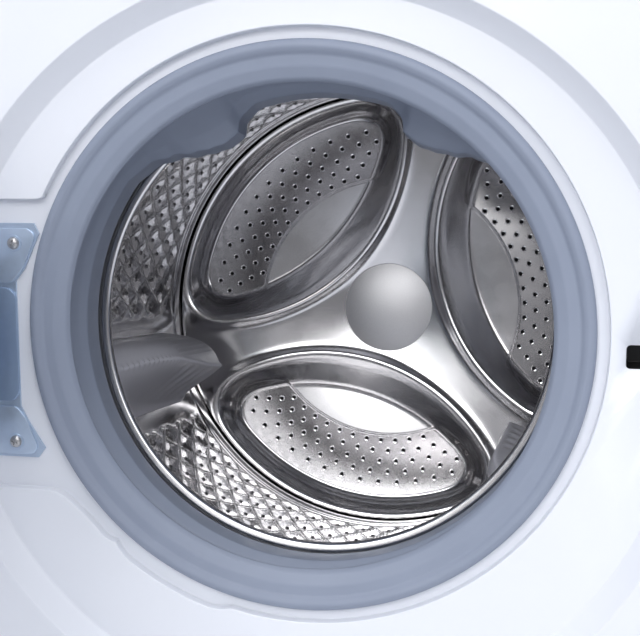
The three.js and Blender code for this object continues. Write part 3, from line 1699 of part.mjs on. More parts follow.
// A friction damper: a rod in a tube, with an eye at each end.
function damper(side) {
  const { tubEnd, panEnd } = damperEnds(side);
  const length = tubEnd.distanceTo(panEnd);
  const split = length * 0.45;
  const along = tubEnd.clone().sub(panEnd);
  const body = joined(
    rod('z', damperRadius, [16, split], [0, 0]),
    rod('z', damperRod, [split - 1, length - 6], [0, 0], 8),
    rod('y', damperEye, [-eyeHalf, eyeHalf], [0, 0]),
    rod('y', damperEye, [-eyeHalf, eyeHalf], [0, length]),
    box([-6, 6], [-6, 6], [4, 18]),
    rod('y', eyePin, [-eyeHalf - gap - earThickness, eyeHalf + gap + earThickness], [0, 0], 8),
    rod('y', eyePin, [-eyeHalf - gap - earThickness, eyeHalf + gap + earThickness], [0, length], 8),
  );
  return body.rotateY(Math.atan2(along.x, along.z)).translate(panEnd.x, panEnd.y, panEnd.z);
}

// Hoses

const hoseWall = 3;
const hoseSides = 12;
const hoseFit = spigotRadius / cos(PI / hoseSides) + gap + hoseWall;

function corrugated(plain, folds) {
  const cuff = Array(plain).fill(hoseFit);
  const ribs = Array.from({ length: folds }, (_, i) => hoseFit + (i % 2 === 0 ? 3.5 : 0));
  return [...cuff, ...ribs, ...cuff];
}

function sumpHose() {
  const upper = new THREE.Vector3(sumpSpigot.x, sumpSpigot.y, sumpSpigot.z + 12);
  const lower = new THREE.Vector3(pumpNozzleX + 12, pumpNozzleY, filterZ);
  const down = new THREE.Vector3(0, 0, -1);
  const right = new THREE.Vector3(1, 0, 0);
  return sleeve(hosePath(upper, down, lower, right, 30, 90), corrugated(2, 7), hoseWall, hoseSides);
}

function fillBellows() {
  const path = new THREE.LineCurve3(
    new THREE.Vector3(nozzleX, nozzleY, nozzleEnd + 11),
    new THREE.Vector3(nozzleX, nozzleY, fillSpigot.z - 11),
  );
  return sleeve(path, corrugated(1, 5), hoseWall, hoseSides);
}

// Levelling foot: a rubber-shod pad under a nut and a threaded stem.
function foot(x, y) {
  return turnedUpright(
    [
      [0, 0],
      [footRadius, 0],
      [footRadius, 9],
      [12, 13],
      [12, footHeight - gap],
      [footStem, footHeight - gap],
      [footStem, footHeight + 16],
      [0, footHeight + 16],
    ],
    [x, y],
  );
}

// Assembly

addPiece(machine, 'base_pan', basePan(), galvanised);
addPiece(machine, 'side_panel_left', leftSidePanel(), whitePaint);
addPiece(machine, 'side_panel_right', mirrored(leftSidePanel()), whitePaint);
addPiece(machine, 'rear_panel', rearPanel(), galvanised);
addPiece(machine, 'rear_service_cover', serviceCover(), galvanised);
addPiece(machine, 'top_panel', topPanel(), whitePaint);
addPiece(machine, 'front_panel', frontPanel(), whitePaint);
addPiece(machine, 'kick_panel', kickPanel(), whitePlastic);
addPiece(machine, 'filter_flap', filterFlap(), whitePlastic);
addPiece(machine, 'filter_cap', filterCap(), greyPlastic);
addPiece(machine, 'drain_pump', drainPump(), tubPlastic);
addPiece(machine, 'control_fascia', controlFascia(), whitePlastic);
addPiece(machine, 'display_window', displayWindow(), darkGlass);
addPiece(machine, 'control_board', controlBoard(), boardGreen);
addPiece(machine, 'power_button', roundButton(powerX, powerRadius), paleGreyPlastic);
addPiece(machine, 'start_button', roundButton(startX, startRadius), paleGreyPlastic);
optionXs.forEach((x, i) => addPiece(machine, `option_button_${i + 1}`, optionButton(x), paleGreyPlastic));
addPiece(machine, 'cycle_dial', cycleDial(), paleGreyPlastic);
addPiece(machine, 'detergent_drawer', detergentDrawer(), whitePlastic);
addPiece(machine, 'dispenser_housing', dispenserHousing(), tubPlastic);
addPiece(machine, 'inlet_valve', inletValve(), paleGreyPlastic);
addPiece(machine, 'door_lock', doorLock(), blackPlastic);
addPiece(machine, 'hinge_bracket', hingeBracket(), zincSteel);
addPiece(machine, 'hinge_pin', hingePin(), zincSteel);
addPiece(machine, 'door_gasket', doorGasket(), gasketRubber);
addPiece(machine, 'spring_left', spring(-1), brushedSteel);
addPiece(machine, 'spring_right', spring(1), brushedSteel);
addPiece(machine, 'damper_left', damper(-1), greyPlastic);
addPiece(machine, 'damper_right', damper(1), greyPlastic);
addPiece(machine, 'sump_hose', sumpHose(), blackRubber);
addPiece(machine, 'fill_bellows', fillBellows(), blackRubber);
let footNumber = 1;
for (const x of [-footX, footX]) {
  for (const y of footYs) {
    addPiece(machine, `foot_${footNumber}`, foot(x, y), blackRubber);
    footNumber += 1;
  }
}

addPiece(washUnit, 'tub_front', tubFront(), tubPlastic);
addPiece(washUnit, 'tub_rear', tubRear(), tubPlastic);
addPiece(washUnit, 'counterweight_upper', counterweight(35, 145), concrete);
addPiece(washUnit, 'counterweight_lower', counterweight(215, 325), concrete);
addPiece(washUnit, 'shaft_seal', bearing(sealRadius, sealY), blackRubber);
addPiece(washUnit, 'bearing_front', bearing(bearingRadius, frontBearingY), brushedSteel);
addPiece(washUnit, 'bearing_rear', bearing(bearingRadius - 5, rearBearingY), brushedSteel);
addPiece(washUnit, 'stator', stator(), copper);
addPiece(washUnit, 'drum_shell', drumShell(), polishedSteel);
addPiece(washUnit, 'drum_front_ring', drumFrontRing(), polishedSteel);
addPiece(washUnit, 'drum_back', drumBack(), polishedSteel);
for (let i = 0; i < lifterCount; i++) addPiece(washUnit, `lifter_${i + 1}`, lifter(i), greyPlastic);
addPiece(washUnit, 'hub_cap', hubCap(), brushedSteel);
addPiece(washUnit, 'drum_spider', drumSpider(), castAluminium);
addPiece(washUnit, 'drum_shaft', drumShaft(), brushedSteel);
addPiece(washUnit, 'rotor', rotor(), galvanised);

doorLeaf.position.set(hingeX, hingeY, 0);
doorLeaf.rotation.z = -rad(doorOpenAngle);
addPiece(doorLeaf, 'door_outer_cover', doorOuterCover(), whitePlastic);
addPiece(doorLeaf, 'door_window', doorWindow(), darkGlass);
addPiece(doorLeaf, 'door_inner_frame', doorInnerFrame(), paleGreyPlastic);
addPiece(doorLeaf, 'door_bowl', doorBowl(), bowlGlass);
addPiece(doorLeaf, 'hinge_arm', hingeArm(), zincSteel);
addPiece(doorLeaf, 'latch_hook', latchHook(), zincSteel);

// The part's origin is on the floor, below the middle of its outline with the door open.

machine.updateMatrixWorld(true);
const bounds = new THREE.Box3().setFromObject(machine);
machine.position.y = -(bounds.min.y + bounds.max.y) / 2;

export default machine;
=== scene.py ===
import math

import bmesh
import bpy
from mathutils import Matrix, Vector
from mathutils.bvhtree import BVHTree


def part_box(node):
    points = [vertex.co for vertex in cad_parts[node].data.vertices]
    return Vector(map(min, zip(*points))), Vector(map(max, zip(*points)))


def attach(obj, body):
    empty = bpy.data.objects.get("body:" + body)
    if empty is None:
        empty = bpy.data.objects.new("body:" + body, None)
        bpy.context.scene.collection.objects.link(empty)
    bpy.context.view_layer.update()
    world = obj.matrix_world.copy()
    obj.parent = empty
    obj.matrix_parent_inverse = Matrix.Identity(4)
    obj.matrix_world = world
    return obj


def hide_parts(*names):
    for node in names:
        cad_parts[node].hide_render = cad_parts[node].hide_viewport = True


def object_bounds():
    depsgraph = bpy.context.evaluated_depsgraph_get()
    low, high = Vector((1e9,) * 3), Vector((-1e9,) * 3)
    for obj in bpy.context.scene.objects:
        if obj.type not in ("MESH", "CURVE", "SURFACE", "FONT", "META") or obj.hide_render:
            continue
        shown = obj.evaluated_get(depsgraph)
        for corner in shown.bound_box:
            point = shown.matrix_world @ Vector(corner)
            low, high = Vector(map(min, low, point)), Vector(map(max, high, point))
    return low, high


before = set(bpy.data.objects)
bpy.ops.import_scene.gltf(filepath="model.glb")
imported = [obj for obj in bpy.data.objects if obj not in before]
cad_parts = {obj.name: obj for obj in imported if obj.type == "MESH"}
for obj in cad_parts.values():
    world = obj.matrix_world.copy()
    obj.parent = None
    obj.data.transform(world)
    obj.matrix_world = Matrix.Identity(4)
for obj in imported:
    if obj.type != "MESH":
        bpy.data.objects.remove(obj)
cad_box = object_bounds()


# Camera. It looks through the loading opening from the front, a little to the right of the middle,
# and turns left and down into the drum.

camera = bpy.data.objects.new("camera", bpy.data.cameras.new("camera"))
camera.data.lens = 61.8
camera.data.sensor_width = 36.0
camera.location = (0.1676, -0.8627, 0.6504)
camera.rotation_euler = (math.radians(81.88), 0.0, math.radians(10.66))
bpy.context.scene.collection.objects.link(camera)
bpy.context.scene.camera = camera
bpy.context.scene.view_settings.view_transform = "Standard"


# Studio floor. A pale matt floor under a pale even sky. Every finish in this file is a Finish: a
# Principled shader whose sums are written as Python expressions on Signals.

class Signal:
    """One value on its way through a material."""

    def __init__(self, finish, socket):
        self.finish = finish
        self.socket = socket

    def sum(self, operation, *values):
        return self.finish.node("ShaderNodeMath", {"operation": operation}, dict(enumerate(values)))

    def __add__(self, other):
        return self.sum("ADD", self, other)

    def __radd__(self, other):
        return self.sum("ADD", other, self)

    def __sub__(self, other):
        return self.sum("SUBTRACT", self, other)

    def __rsub__(self, other):
        return self.sum("SUBTRACT", other, self)

    def __mul__(self, other):
        return self.sum("MULTIPLY", self, other)

    def __rmul__(self, other):
        return self.sum("MULTIPLY", other, self)

    def __truediv__(self, other):
        return self.sum("DIVIDE", self, other)

    def __gt__(self, other):
        return self.sum("GREATER_THAN", self, other)

    def __lt__(self, other):
        return self.sum("LESS_THAN", self, other)


class Finish:
    """A material: its even values are set on the shader, and what varies is fed to it."""

    def __init__(self, name, colour, roughness, metallic=0.0, **even):
        self.material = bpy.data.materials.new(name)
        self.material.use_nodes = True
        self.tree = self.material.node_tree
        self.shader = self.tree.nodes["Principled BSDF"]
        self.colour = (*colour, 1.0)
        self.set("Base Color", self.colour)
        self.set("Roughness", roughness)
        self.set("Metallic", metallic)
        for socket, value in even.items():
            self.set(socket.replace("_", " "), value)

    def set(self, socket, value):
        if isinstance(value, Signal):
            self.tree.links.new(value.socket, self.shader.inputs[socket])
        else:
            self.shader.inputs[socket].default_value = value

    def node(self, kind, settings=None, values=None, output=0):
        node = self.tree.nodes.new(kind)
        for name, value in (settings or {}).items():
            if name == "stops":
                stops = node.color_ramp.elements
                while len(stops) < len(value):
                    stops.new(1.0)
                for stop, (position, shade) in zip(stops, value):
                    stop.position = position
                    stop.color = (shade, shade, shade, 1.0)
            else:
                setattr(node, name, value)
        for name, value in (values or {}).items():
            if isinstance(value, Signal):
                self.tree.links.new(value.socket, node.inputs[name])
            else:
                node.inputs[name].default_value = value
        return Signal(self, node.outputs[output])

    def place(self, stretch=(1.0, 1.0, 1.0)):
        """Where a point is on the machine, stretched along each axis."""
        at = self.node("ShaderNodeTexCoord", output="Object")
        return self.node("ShaderNodeMapping", values={"Vector": at, "Scale": stretch})

    def speckle(self, size, stretch=(1.0, 1.0, 1.0), detail=3.0):
        """Soft noise from 0 to 1 whose blots are about size metres across."""
        settings = {"noise_dimensions": "3D"}
        values = {"Vector": self.place(stretch), "Scale": 1.0 / size, "Detail": detail}
        return self.node("ShaderNodeTexNoise", settings, values)

    def tint(self, share, light, dark=None):
        """The base colour, moved by share from one shade to another."""
        mixed = self.node(
            "ShaderNodeMix",
            {"data_type": "RGBA"},
            {0: share, 6: (*(dark or self.colour[:3]), 1.0), 7: (*light, 1.0)},
            output=2,
        )
        self.set("Base Color", mixed)

    def relief(self, height, depth, strength=1.0):
        """A bump of height from 0 to 1, depth metres deep."""
        values = {"Strength": strength, "Distance": depth, "Height": height}
        self.set("Normal", self.node("ShaderNodeBump", values=values))


floor_radius = 9.0

bm = bmesh.new()
bmesh.ops.create_circle(bm, cap_ends=True, segments=96, radius=floor_radius)
floor_mesh = bpy.data.meshes.new("studio_floor")
bm.to_mesh(floor_mesh)
bm.free()
floor = bpy.data.objects.new("studio_floor", floor_mesh)
bpy.context.scene.collection.objects.link(floor)
floor_paint = Finish("studio_floor", (0.72, 0.73, 0.75), 0.7)
floor_paint.set("Roughness", 0.62 + 0.1 * floor_paint.speckle(0.4))
floor.data.materials.append(floor_paint.material)

sky = bpy.data.worlds.new("studio")
sky.use_nodes = True
direction = sky.node_tree.nodes.new("ShaderNodeTexCoord")
parts = sky.node_tree.nodes.new("ShaderNodeSeparateXYZ")
shade = sky.node_tree.nodes.new("ShaderNodeValToRGB")
dome = (
    (0.0, (0.2, 0.2, 0.21)),
    (0.14, (0.24, 0.24, 0.26)),
    (0.4, (0.56, 0.58, 0.64)),
    (1.0, (0.78, 0.82, 0.92)),
)
while len(shade.color_ramp.elements) < len(dome):
    shade.color_ramp.elements.new(1.0)
for stop, (position, colour) in zip(shade.color_ramp.elements, dome):
    stop.position = position
    stop.color = (*colour, 1.0)
sky.node_tree.links.new(direction.outputs["Generated"], parts.inputs["Vector"])
sky.node_tree.links.new(parts.outputs["Z"], shade.inputs["Fac"])
sky.node_tree.links.new(shade.outputs["Color"], sky.node_tree.nodes["Background"].inputs["Color"])
bpy.context.scene.world = sky


# Lamps. Soft boxes: a key above to the right, one in front that the drum mirrors, a fill above to
# the left, one overhead, and one behind that lifts the rear panel. Each is aimed at the machine.

machine_middle = Vector((0.0, 0.0, cad_box[1][2] * 0.55))
soft_boxes = {
    "key": ((1.9, -3.8, 2.9), 2.3, 46.0),
    "front": ((-0.32, -2.2, 1.5), 1.1, 9.0),
    "fill": ((-0.6, -3.1, 2.5), 1.4, 27.0),
    "over": ((0.1, -0.9, 3.1), 1.3, 16.0),
    "behind": ((-0.8, 3.2, 2.2), 2.0, 45.0),
}
for name, (place, size, watts) in soft_boxes.items():
    lamp = bpy.data.objects.new(name, bpy.data.lights.new(name, "AREA"))
    lamp.data.shape = "SQUARE"
    lamp.data.size = size
    lamp.data.energy = watts
    lamp.location = place
    lamp.rotation_euler = (machine_middle - Vector(place)).to_track_quat("-Z", "Y").to_euler()
    bpy.context.scene.collection.objects.link(lamp)


# Cabinet. The side panels, the rear panel and its cover, and the base pan are folded and pressed
# sheet steel, painted or galvanised. A press leaves every corner with a small radius.

def finished_piece(name, bm, finish, body, slot, *nodes):
    """A shown piece from a finished mesh, shaded smooth up to its real corners."""
    mesh = bpy.data.meshes.new(name)
    bm.to_mesh(mesh)
    bm.free()
    mesh.shade_smooth()
    mesh.set_sharp_from_angle(angle=math.radians(38))
    mesh.materials.append(finish.material)
    piece = bpy.data.objects.new(name, mesh)
    bpy.context.scene.collection.objects.link(piece)
    if nodes:
        even = piece.modifiers.new("even_faces", "WEIGHTED_NORMAL")
        even.keep_sharp = True
    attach(piece, body)
    if nodes:
        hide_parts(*nodes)
    return piece


def merged_solid(node):
    """A copy of a sub-part's solid, with its loose triangles joined into whole faces."""
    bm = bmesh.new()
    bm.from_mesh(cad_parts[node].data)
    bmesh.ops.remove_doubles(bm, verts=bm.verts, dist=4e-6)
    bmesh.ops.dissolve_limit(bm, angle_limit=math.radians(0.5), verts=bm.verts, edges=bm.edges)
    return bm


def soften(bm, radius, segments=3, corner=32.0):
    """Rounds every edge that turns by more than corner degrees."""
    turn = math.radians(corner)
    sharp = [edge for edge in bm.edges if edge.is_manifold and edge.calc_face_angle() > turn]
    bmesh.ops.bevel(
        bm,
        geom=sharp,
        offset=radius,
        segments=segments,
        profile=0.5,
        affect="EDGES",
        material=-1,
        clamp_overlap=True,
    )
    return bm


def softened_piece(name, node, finish, body, slot, radius, segments=3, corner=32.0):
    """A shown piece with a sub-part's own shape, its corners rounded."""
    solid = soften(merged_solid(node), radius, segments, corner)
    return finished_piece(name, solid, finish, body, slot, node)


def white_enamel():
    enamel = Finish("white_enamel", (0.83, 0.85, 0.905), 0.3, Coat_Weight=0.35, Coat_Roughness=0.12)
    enamel.set("Roughness", 0.26 + 0.1 * enamel.speckle(0.09))
    enamel.tint(enamel.speckle(0.3, detail=1.0), (0.85, 0.865, 0.91), (0.815, 0.84, 0.9))
    enamel.relief(enamel.speckle(0.0022, detail=1.0), 0.00006, 0.35)
    return enamel


enamel = white_enamel()
painted_radius = 0.0009
bare_radius = 0.0006
for side in ("left", "right"):
    name = f"side_{side}_pressing"
    softened_piece(name, f"side_panel_{side}", enamel, "cabinet", "white_paint", painted_radius, 2)


def galvanised_sheet():
    steel = Finish("galvanised_sheet", (0.52, 0.54, 0.56), 0.45, 0.85)
    crystals = {"Vector": steel.place(), "Scale": 90.0}
    spangle = steel.node("ShaderNodeTexVoronoi", {"feature": "F1"}, crystals, output="Color")
    grey = steel.node("ShaderNodeRGBToBW", values={"Color": spangle})
    steel.tint(grey, (0.6, 0.62, 0.64), (0.44, 0.46, 0.48))
    steel.set("Roughness", 0.36 + 0.2 * grey)
    return steel


galvanised = galvanised_sheet()
for node in ("rear_panel", "rear_service_cover", "base_pan"):
    softened_piece(f"{node}_pressing", node, galvanised, "cabinet", "galvanised_steel", bare_radius, 2)


# Front panel. One deep-drawn sheet of enamelled steel: the round seat for the door is sunk into its
# face, a channel for the gasket's bead into the seat, and the hinge pocket runs out to the left.

def placed(bm, matrix):
    bmesh.ops.transform(bm, matrix=matrix, verts=bm.verts)
    return bm


def front_disc(radius, front, back, centre, far_radius=None, segments=192):
    """A round slug along Y, between two faces, that may taper to far_radius at the back."""
    bm = bmesh.new()
    bmesh.ops.create_cone(
        bm,
        cap_ends=True,
        segments=segments,
        radius1=radius,
        radius2=far_radius or radius,
        depth=back - front,
    )
    middle = Matrix.Translation((centre[0], (front + back) / 2, centre[1]))
    return placed(bm, middle @ Matrix.Rotation(math.radians(-90), 4, "X"))


def front_slab(corners, front, back, round_corners=0.0, segments=8):
    """An outline of (x, z) points, pushed from a front face to a back face along Y."""
    bm = bmesh.new()
    loop = [bm.verts.new((x, front, z)) for x, z in corners]
    face = bm.faces.new(loop)
    if round_corners:
        bmesh.ops.bevel(
            bm,
            geom=loop,
            offset=round_corners,
            segments=segments,
            profile=0.5,
            affect="VERTICES",
            material=-1,
            clamp_overlap=True,
        )
        face = bm.faces[:][0]
    pushed = bmesh.ops.extrude_face_region(bm, geom=[face])["geom"]
    moved = [item for item in pushed if isinstance(item, bmesh.types.BMVert)]
    bmesh.ops.translate(bm, verts=moved, vec=(0.0, back - front, 0.0))
    bmesh.ops.recalc_face_normals(bm, faces=bm.faces)
    return bm


def smooth(value, low, high):
    """An eased step from 0 at low to 1 at high."""
    share = min(1.0, max(0.0, (value - low) / (high - low)))
    return share * share * (3.0 - 2.0 * share)


def rectangle(x, z):
    return [(x[0], z[0]), (x[1], z[0]), (x[1], z[1]), (x[0], z[1])]


def cut(bm, tool, operation="DIFFERENCE"):
    """The first solid less the second, or their overlap or union."""
    solids = []
    for part in (bm, tool):
        mesh = bpy.data.meshes.new("blank")
        part.to_mesh(mesh)
        part.free()
        solids.append(bpy.data.objects.new("blank", mesh))
        bpy.context.scene.collection.objects.link(solids[-1])
    boolean = solids[0].modifiers.new("cut", "BOOLEAN")
    boolean.operation = operation
    boolean.solver = "EXACT"
    boolean.object = solids[1]
    left = bmesh.new()
    left.from_object(solids[0], bpy.context.evaluated_depsgraph_get())
    for solid in solids:
        mesh = solid.data
        bpy.data.objects.remove(solid)
        bpy.data.meshes.remove(mesh)
    return left


panel_low, panel_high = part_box("front_panel")
bead_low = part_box("door_gasket")[0]
mouth = (0.0, 0.52)
panel_face = panel_low.y
bead_plane = bead_low.y + 0.008
seat_floor = bead_plane - 0.006
channel_floor = bead_plane + 0.002
seat_middle = (0.0, mouth[1] - 0.024)
seat_inner = 0.279
seat_outer = 0.293
channel_radius = 0.229
opening_radius = 0.2125
sheet_gauge = 0.0015
collar_end = panel_high.y
fold_depth = 0.022
fold_radius = 0.014
run_out = 0.004
relief_radius = 0.2160
relief_swell = 0.0190
relief_foot = 0.2100
latch_low = (0.240, 0.50225)
latch_high = (0.266, 0.51975)

block = front_slab(
    rectangle((panel_low.x, panel_high.x), (panel_low.z, panel_high.z)), panel_face, collar_end + 0.012
)
side_edges = [edge for edge in block.edges if abs(edge.verts[0].co.z - edge.verts[1].co.z) > 0.1]
bmesh.ops.bevel(
    block,
    geom=[edge for edge in side_edges if abs(edge.verts[0].co.y - panel_face) < 1e-5],
    offset=fold_radius,
    segments=8,
    profile=0.5,
    affect="EDGES",
    material=-1,
)
slope = (seat_outer - seat_inner) / (seat_floor - panel_face)
seat_front = panel_face - run_out
seat_mouth = seat_outer + slope * run_out
block = cut(block, front_disc(seat_mouth, seat_front, seat_floor, seat_middle, seat_inner))
block = cut(block, front_disc(channel_radius, panel_face - 0.01, channel_floor, mouth))
pocket = front_slab(
    [
        (-0.34, mouth[1] + 0.101),
        (-0.34, mouth[1] - 0.133),
        (-0.199, mouth[1] - 0.133),
        (-0.171, mouth[1] - 0.158),
        (-0.1565, mouth[1] - 0.176),
        (-0.13, mouth[1] - 0.17),
        (-0.13, mouth[1] + 0.12),
        (-0.186, mouth[1] + 0.127),
        (-0.2, mouth[1] + 0.101),
    ],
    seat_floor - 0.02,
    channel_floor,
    0.012,
)
within_seat = front_disc(seat_inner - 0.003, seat_floor - 0.03, channel_floor + 0.01, seat_middle)
block = cut(block, cut(pocket, within_seat, "INTERSECT"))


def around_mouth(radius, degrees):
    """The (x, z) place at a radius and an angle about the mouth."""
    turn = math.radians(degrees)
    return (radius * math.cos(turn), mouth[1] + radius * math.sin(turn))


drain_relief = []
for degrees in range(220, 265, 2):
    swell = smooth(degrees, 220, 233) * (1.0 - smooth(degrees, 251, 264))
    drain_relief.append(around_mouth(relief_radius + relief_swell * swell, degrees))
drain_relief += [around_mouth(relief_foot, degrees) for degrees in (264, 242, 220)]
block = cut(block, front_slab(drain_relief, seat_floor - 0.02, channel_floor))
block = cut(block, front_disc(opening_radius, panel_face - 0.01, collar_end + 0.004, mouth))
block = cut(
    block,
    front_slab(
        rectangle((latch_low[0], latch_high[0]), (latch_low[1], latch_high[1])),
        seat_floor - 0.01,
        seat_floor + 0.006,
        0.003,
        4,
    ),
)
hidden = [
    face
    for face in block.faces
    if face.calc_center_median().y > collar_end + 0.0005 and abs(face.normal.y) > 0.9
]
in_slot = [
    face
    for face in block.faces
    if latch_low[0] - 0.001 < face.calc_center_median().x < latch_high[0] + 0.001
    and latch_low[1] - 0.001 < face.calc_center_median().z < latch_high[1] + 0.001
    and face.calc_center_median().y > seat_floor + 0.0005
]
bmesh.ops.delete(block, geom=list({*hidden, *in_slot}), context="FACES")
bmesh.ops.remove_doubles(block, verts=block.verts, dist=1e-5)
for vert in block.verts:
    from_edge = min(vert.co.z - panel_low.z, panel_high.z - vert.co.z, panel_high.x - abs(vert.co.x))
    outside = from_edge < 1e-4
    if outside and vert.co.y > collar_end:
        vert.co.y = panel_face + fold_depth
    elif vert.co.y > collar_end:
        vert.co.y = collar_end
bmesh.ops.dissolve_limit(block, angle_limit=math.radians(0.4), verts=block.verts, edges=block.edges)
soften(block, 0.0022, 4, 24.0)
front_panel = finished_piece("front_panel_pressing", block, enamel, "cabinet", "white_paint", "front_panel")
gauge = front_panel.modifiers.new("sheet gauge", "SOLIDIFY")
gauge.thickness = sheet_gauge
gauge.offset = -1.0


# Door gasket. One moulding of blue-grey rubber: a bead that grips the front panel, a soft lip, and a
# bellows down to the tub's collar. The front stands upright, the back leans with the tub, and two
# pads for the spray nozzles stand inwards at the top.

drum_tilt = math.radians(6.15)
drum_rise = 0.0083
lean_from = 0.012
lean_to = 0.058
leaning = Matrix.Translation((mouth[0], bead_plane, mouth[1] + drum_rise))
leaning = leaning @ Matrix.Rotation(-drum_tilt, 4, "X")
upright = Matrix.Translation((mouth[0], bead_plane, mouth[1]))


def spun(profile, steps, rounding=0.0, segments=3, closed=True):
    """A profile of (radius, depth) points turned round the Y axis."""
    bm = bmesh.new()
    line = [bm.verts.new((radius, depth, 0.0)) for radius, depth in profile]
    for here, there in zip(line, line[1:] + (line[:1] if closed else [])):
        bm.edges.new((here, there))
    if rounding:
        bends = [vert for vert in line if len(vert.link_edges) == 2]
        bmesh.ops.bevel(
            bm,
            geom=bends,
            offset=rounding,
            segments=segments,
            profile=0.5,
            affect="VERTICES",
            material=-1,
            clamp_overlap=True,
        )
    bmesh.ops.spin(
        bm,
        geom=bm.verts[:] + bm.edges[:],
        cent=(0.0, 0.0, 0.0),
        axis=(0.0, 1.0, 0.0),
        angle=2.0 * math.pi,
        steps=steps,
        use_merge=True,
    )
    bmesh.ops.remove_doubles(bm, verts=bm.verts, dist=1e-6)
    bmesh.ops.recalc_face_normals(bm, faces=bm.faces)
    return bm


bellows = [
    (0.2121, 0.0017),
    (0.2121, 0.0143),
    (0.2165, 0.0146),
    (0.2115, 0.0200),
    (0.2155, 0.0360),
    (0.2075, 0.0510),
    (0.2125, 0.0600),
    (0.2125, 0.0800),
    (0.2083, 0.0800),
    (0.2083, 0.0645),
    (0.2027, 0.0645),
    (0.2027, 0.0870),
    (0.1980, 0.0870),
    (0.1974, 0.0600),
    (0.2025, 0.0530),
    (0.2120, 0.0360),
    (0.2045, 0.0185),
    (0.1905, 0.0090),
    (0.1887, 0.0050),
    (0.1915, 0.0008),
    (0.2000, -0.0032),
    (0.2085, -0.0040),
    (0.2104, -0.0062),
    (0.2140, -0.0080),
    (0.2182, -0.0066),
    (0.2200, -0.0030),
    (0.2195, 0.0017),
]
gasket_bm = spun(bellows, 256, 0.0016, 4)
throat = (
    (0.0150, 0.2020),
    (0.0185, 0.2045),
    (0.0360, 0.2120),
    (0.0530, 0.2030),
    (0.0600, 0.1974),
    (0.0900, 0.1981),
)
nozzle_pads = (
    (0.0, 0.1845),
    (17.0, 0.1845),
    (21.5, 0.1790),
    (24.5, 0.1660),
    (29.0, 0.1640),
    (33.0, 0.1665),
    (38.0, 0.1725),
    (43.0, 0.1830),
    (49.0, 0.1930),
    (56.0, 0.1980),
)


def along_line(points, at):
    """The height of a bent line of (place, height) points, or None beside it."""
    for low, high in zip(points, points[1:]):
        if low[0] <= at <= high[0]:
            return low[1] + (high[1] - low[1]) * smooth(at, low[0], high[0])
    return None


for vert in gasket_bm.verts:
    radius = math.hypot(vert.co.x, vert.co.z)
    from_top = abs(math.degrees(math.atan2(vert.co.x, vert.co.z)))
    depth = vert.co.y
    inner = along_line(throat, depth)
    pad = along_line(nozzle_pads, from_top)
    if inner and pad and radius < inner + 0.0014:
        moved = radius + (pad - 0.198) * smooth(depth, 0.022, 0.066)
        vert.co.x *= moved / radius
        vert.co.z *= moved / radius
    share = smooth(depth, lean_from, lean_to)
    vert.co = (upright @ vert.co).lerp(leaning @ vert.co, share)


def gasket_rubber():
    rubber = Finish("gasket_rubber", (0.275, 0.31, 0.385), 0.5, Specular_IOR_Level=0.45)
    bloom = rubber.speckle(0.05, detail=4.0)
    rubber.tint(bloom, (0.29, 0.327, 0.41), (0.245, 0.28, 0.36))
    rubber.set("Roughness", 0.42 + 0.2 * rubber.speckle(0.02))
    rubber.relief(rubber.speckle(0.0012), 0.00008, 0.3)
    return rubber


finished_piece("gasket_moulding", gasket_bm, gasket_rubber(), "cabinet", "gasket_rubber", "door_gasket")


# Drum. Polished stainless steel in three pressings: a front ring rolled round the mouth, a wall
# embossed all over with a lattice of diamonds, and a back with three hollows between three arms. It
# turns on one axis that leans back and down.

drum_radius = 0.2616
drum_gauge = 0.0015
mouth_depth = 0.0927
seam_depth = 0.518
lap_radius = 0.2613
lifter_angles = [197.0, 317.0, 77.0]
diamonds_around = 54
diamond_length = 0.0534
last_row = 0.457
lattice_end = 0.474
plain_half = 14.5


def polished_steel(name="polished_steel"):
    steel = Finish(name, (0.74, 0.73, 0.74), 0.14, 1.0)
    steel.set("Roughness", 0.1 + 0.1 * steel.speckle(0.03, detail=2.0))
    steel.tint(steel.speckle(0.09), (0.78, 0.765, 0.765), (0.7, 0.695, 0.71))
    steel.relief(steel.speckle(0.03, detail=1.0), 0.0005, 0.05)
    return steel


def embossed_steel():
    """Polished steel with the sharp double line that the press leaves along each ridge."""
    steel = polished_steel("embossed_steel")
    upright_again = leaning.inverted()
    settings = {"Location": upright_again.to_translation(), "Rotation": upright_again.to_euler()}
    place = steel.node("ShaderNodeMapping", values={"Vector": steel.place(), **settings})
    across = steel.node("ShaderNodeSeparateXYZ", values={"Vector": place}, output=0)
    depth = steel.node("ShaderNodeSeparateXYZ", values={"Vector": place}, output=1)
    height = steel.node("ShaderNodeSeparateXYZ", values={"Vector": place}, output=2)
    turned = height.sum("ARCTAN2", height, across) - math.radians(lifter_angles[0])
    around = turned * (diamonds_around / (2.0 * math.pi))
    along = (depth - last_row) * (1.0 / diamond_length)
    waves = [(value * math.pi).sum("SINE", value * math.pi) for value in (around + along, around - along)]
    nearest = waves[0].sum("MINIMUM", *[wave.sum("ABSOLUTE", wave) for wave in waves])
    line = steel.node(
        "ShaderNodeValToRGB",
        {"stops": ((0.0, 1.0), (0.06, 0.75), (0.14, 0.0), (0.24, 0.35), (0.4, 0.3), (0.8, 0.6))},
        {"Fac": nearest},
    )
    from_lifter = turned.sum("PINGPONG", turned, math.radians(60.0))
    in_band = (depth < lattice_end) * (depth > mouth_depth + 0.05)
    pressed = (from_lifter > math.radians(plain_half)) * in_band
    steel.relief(line * pressed, 0.0016, 0.7)
    return steel


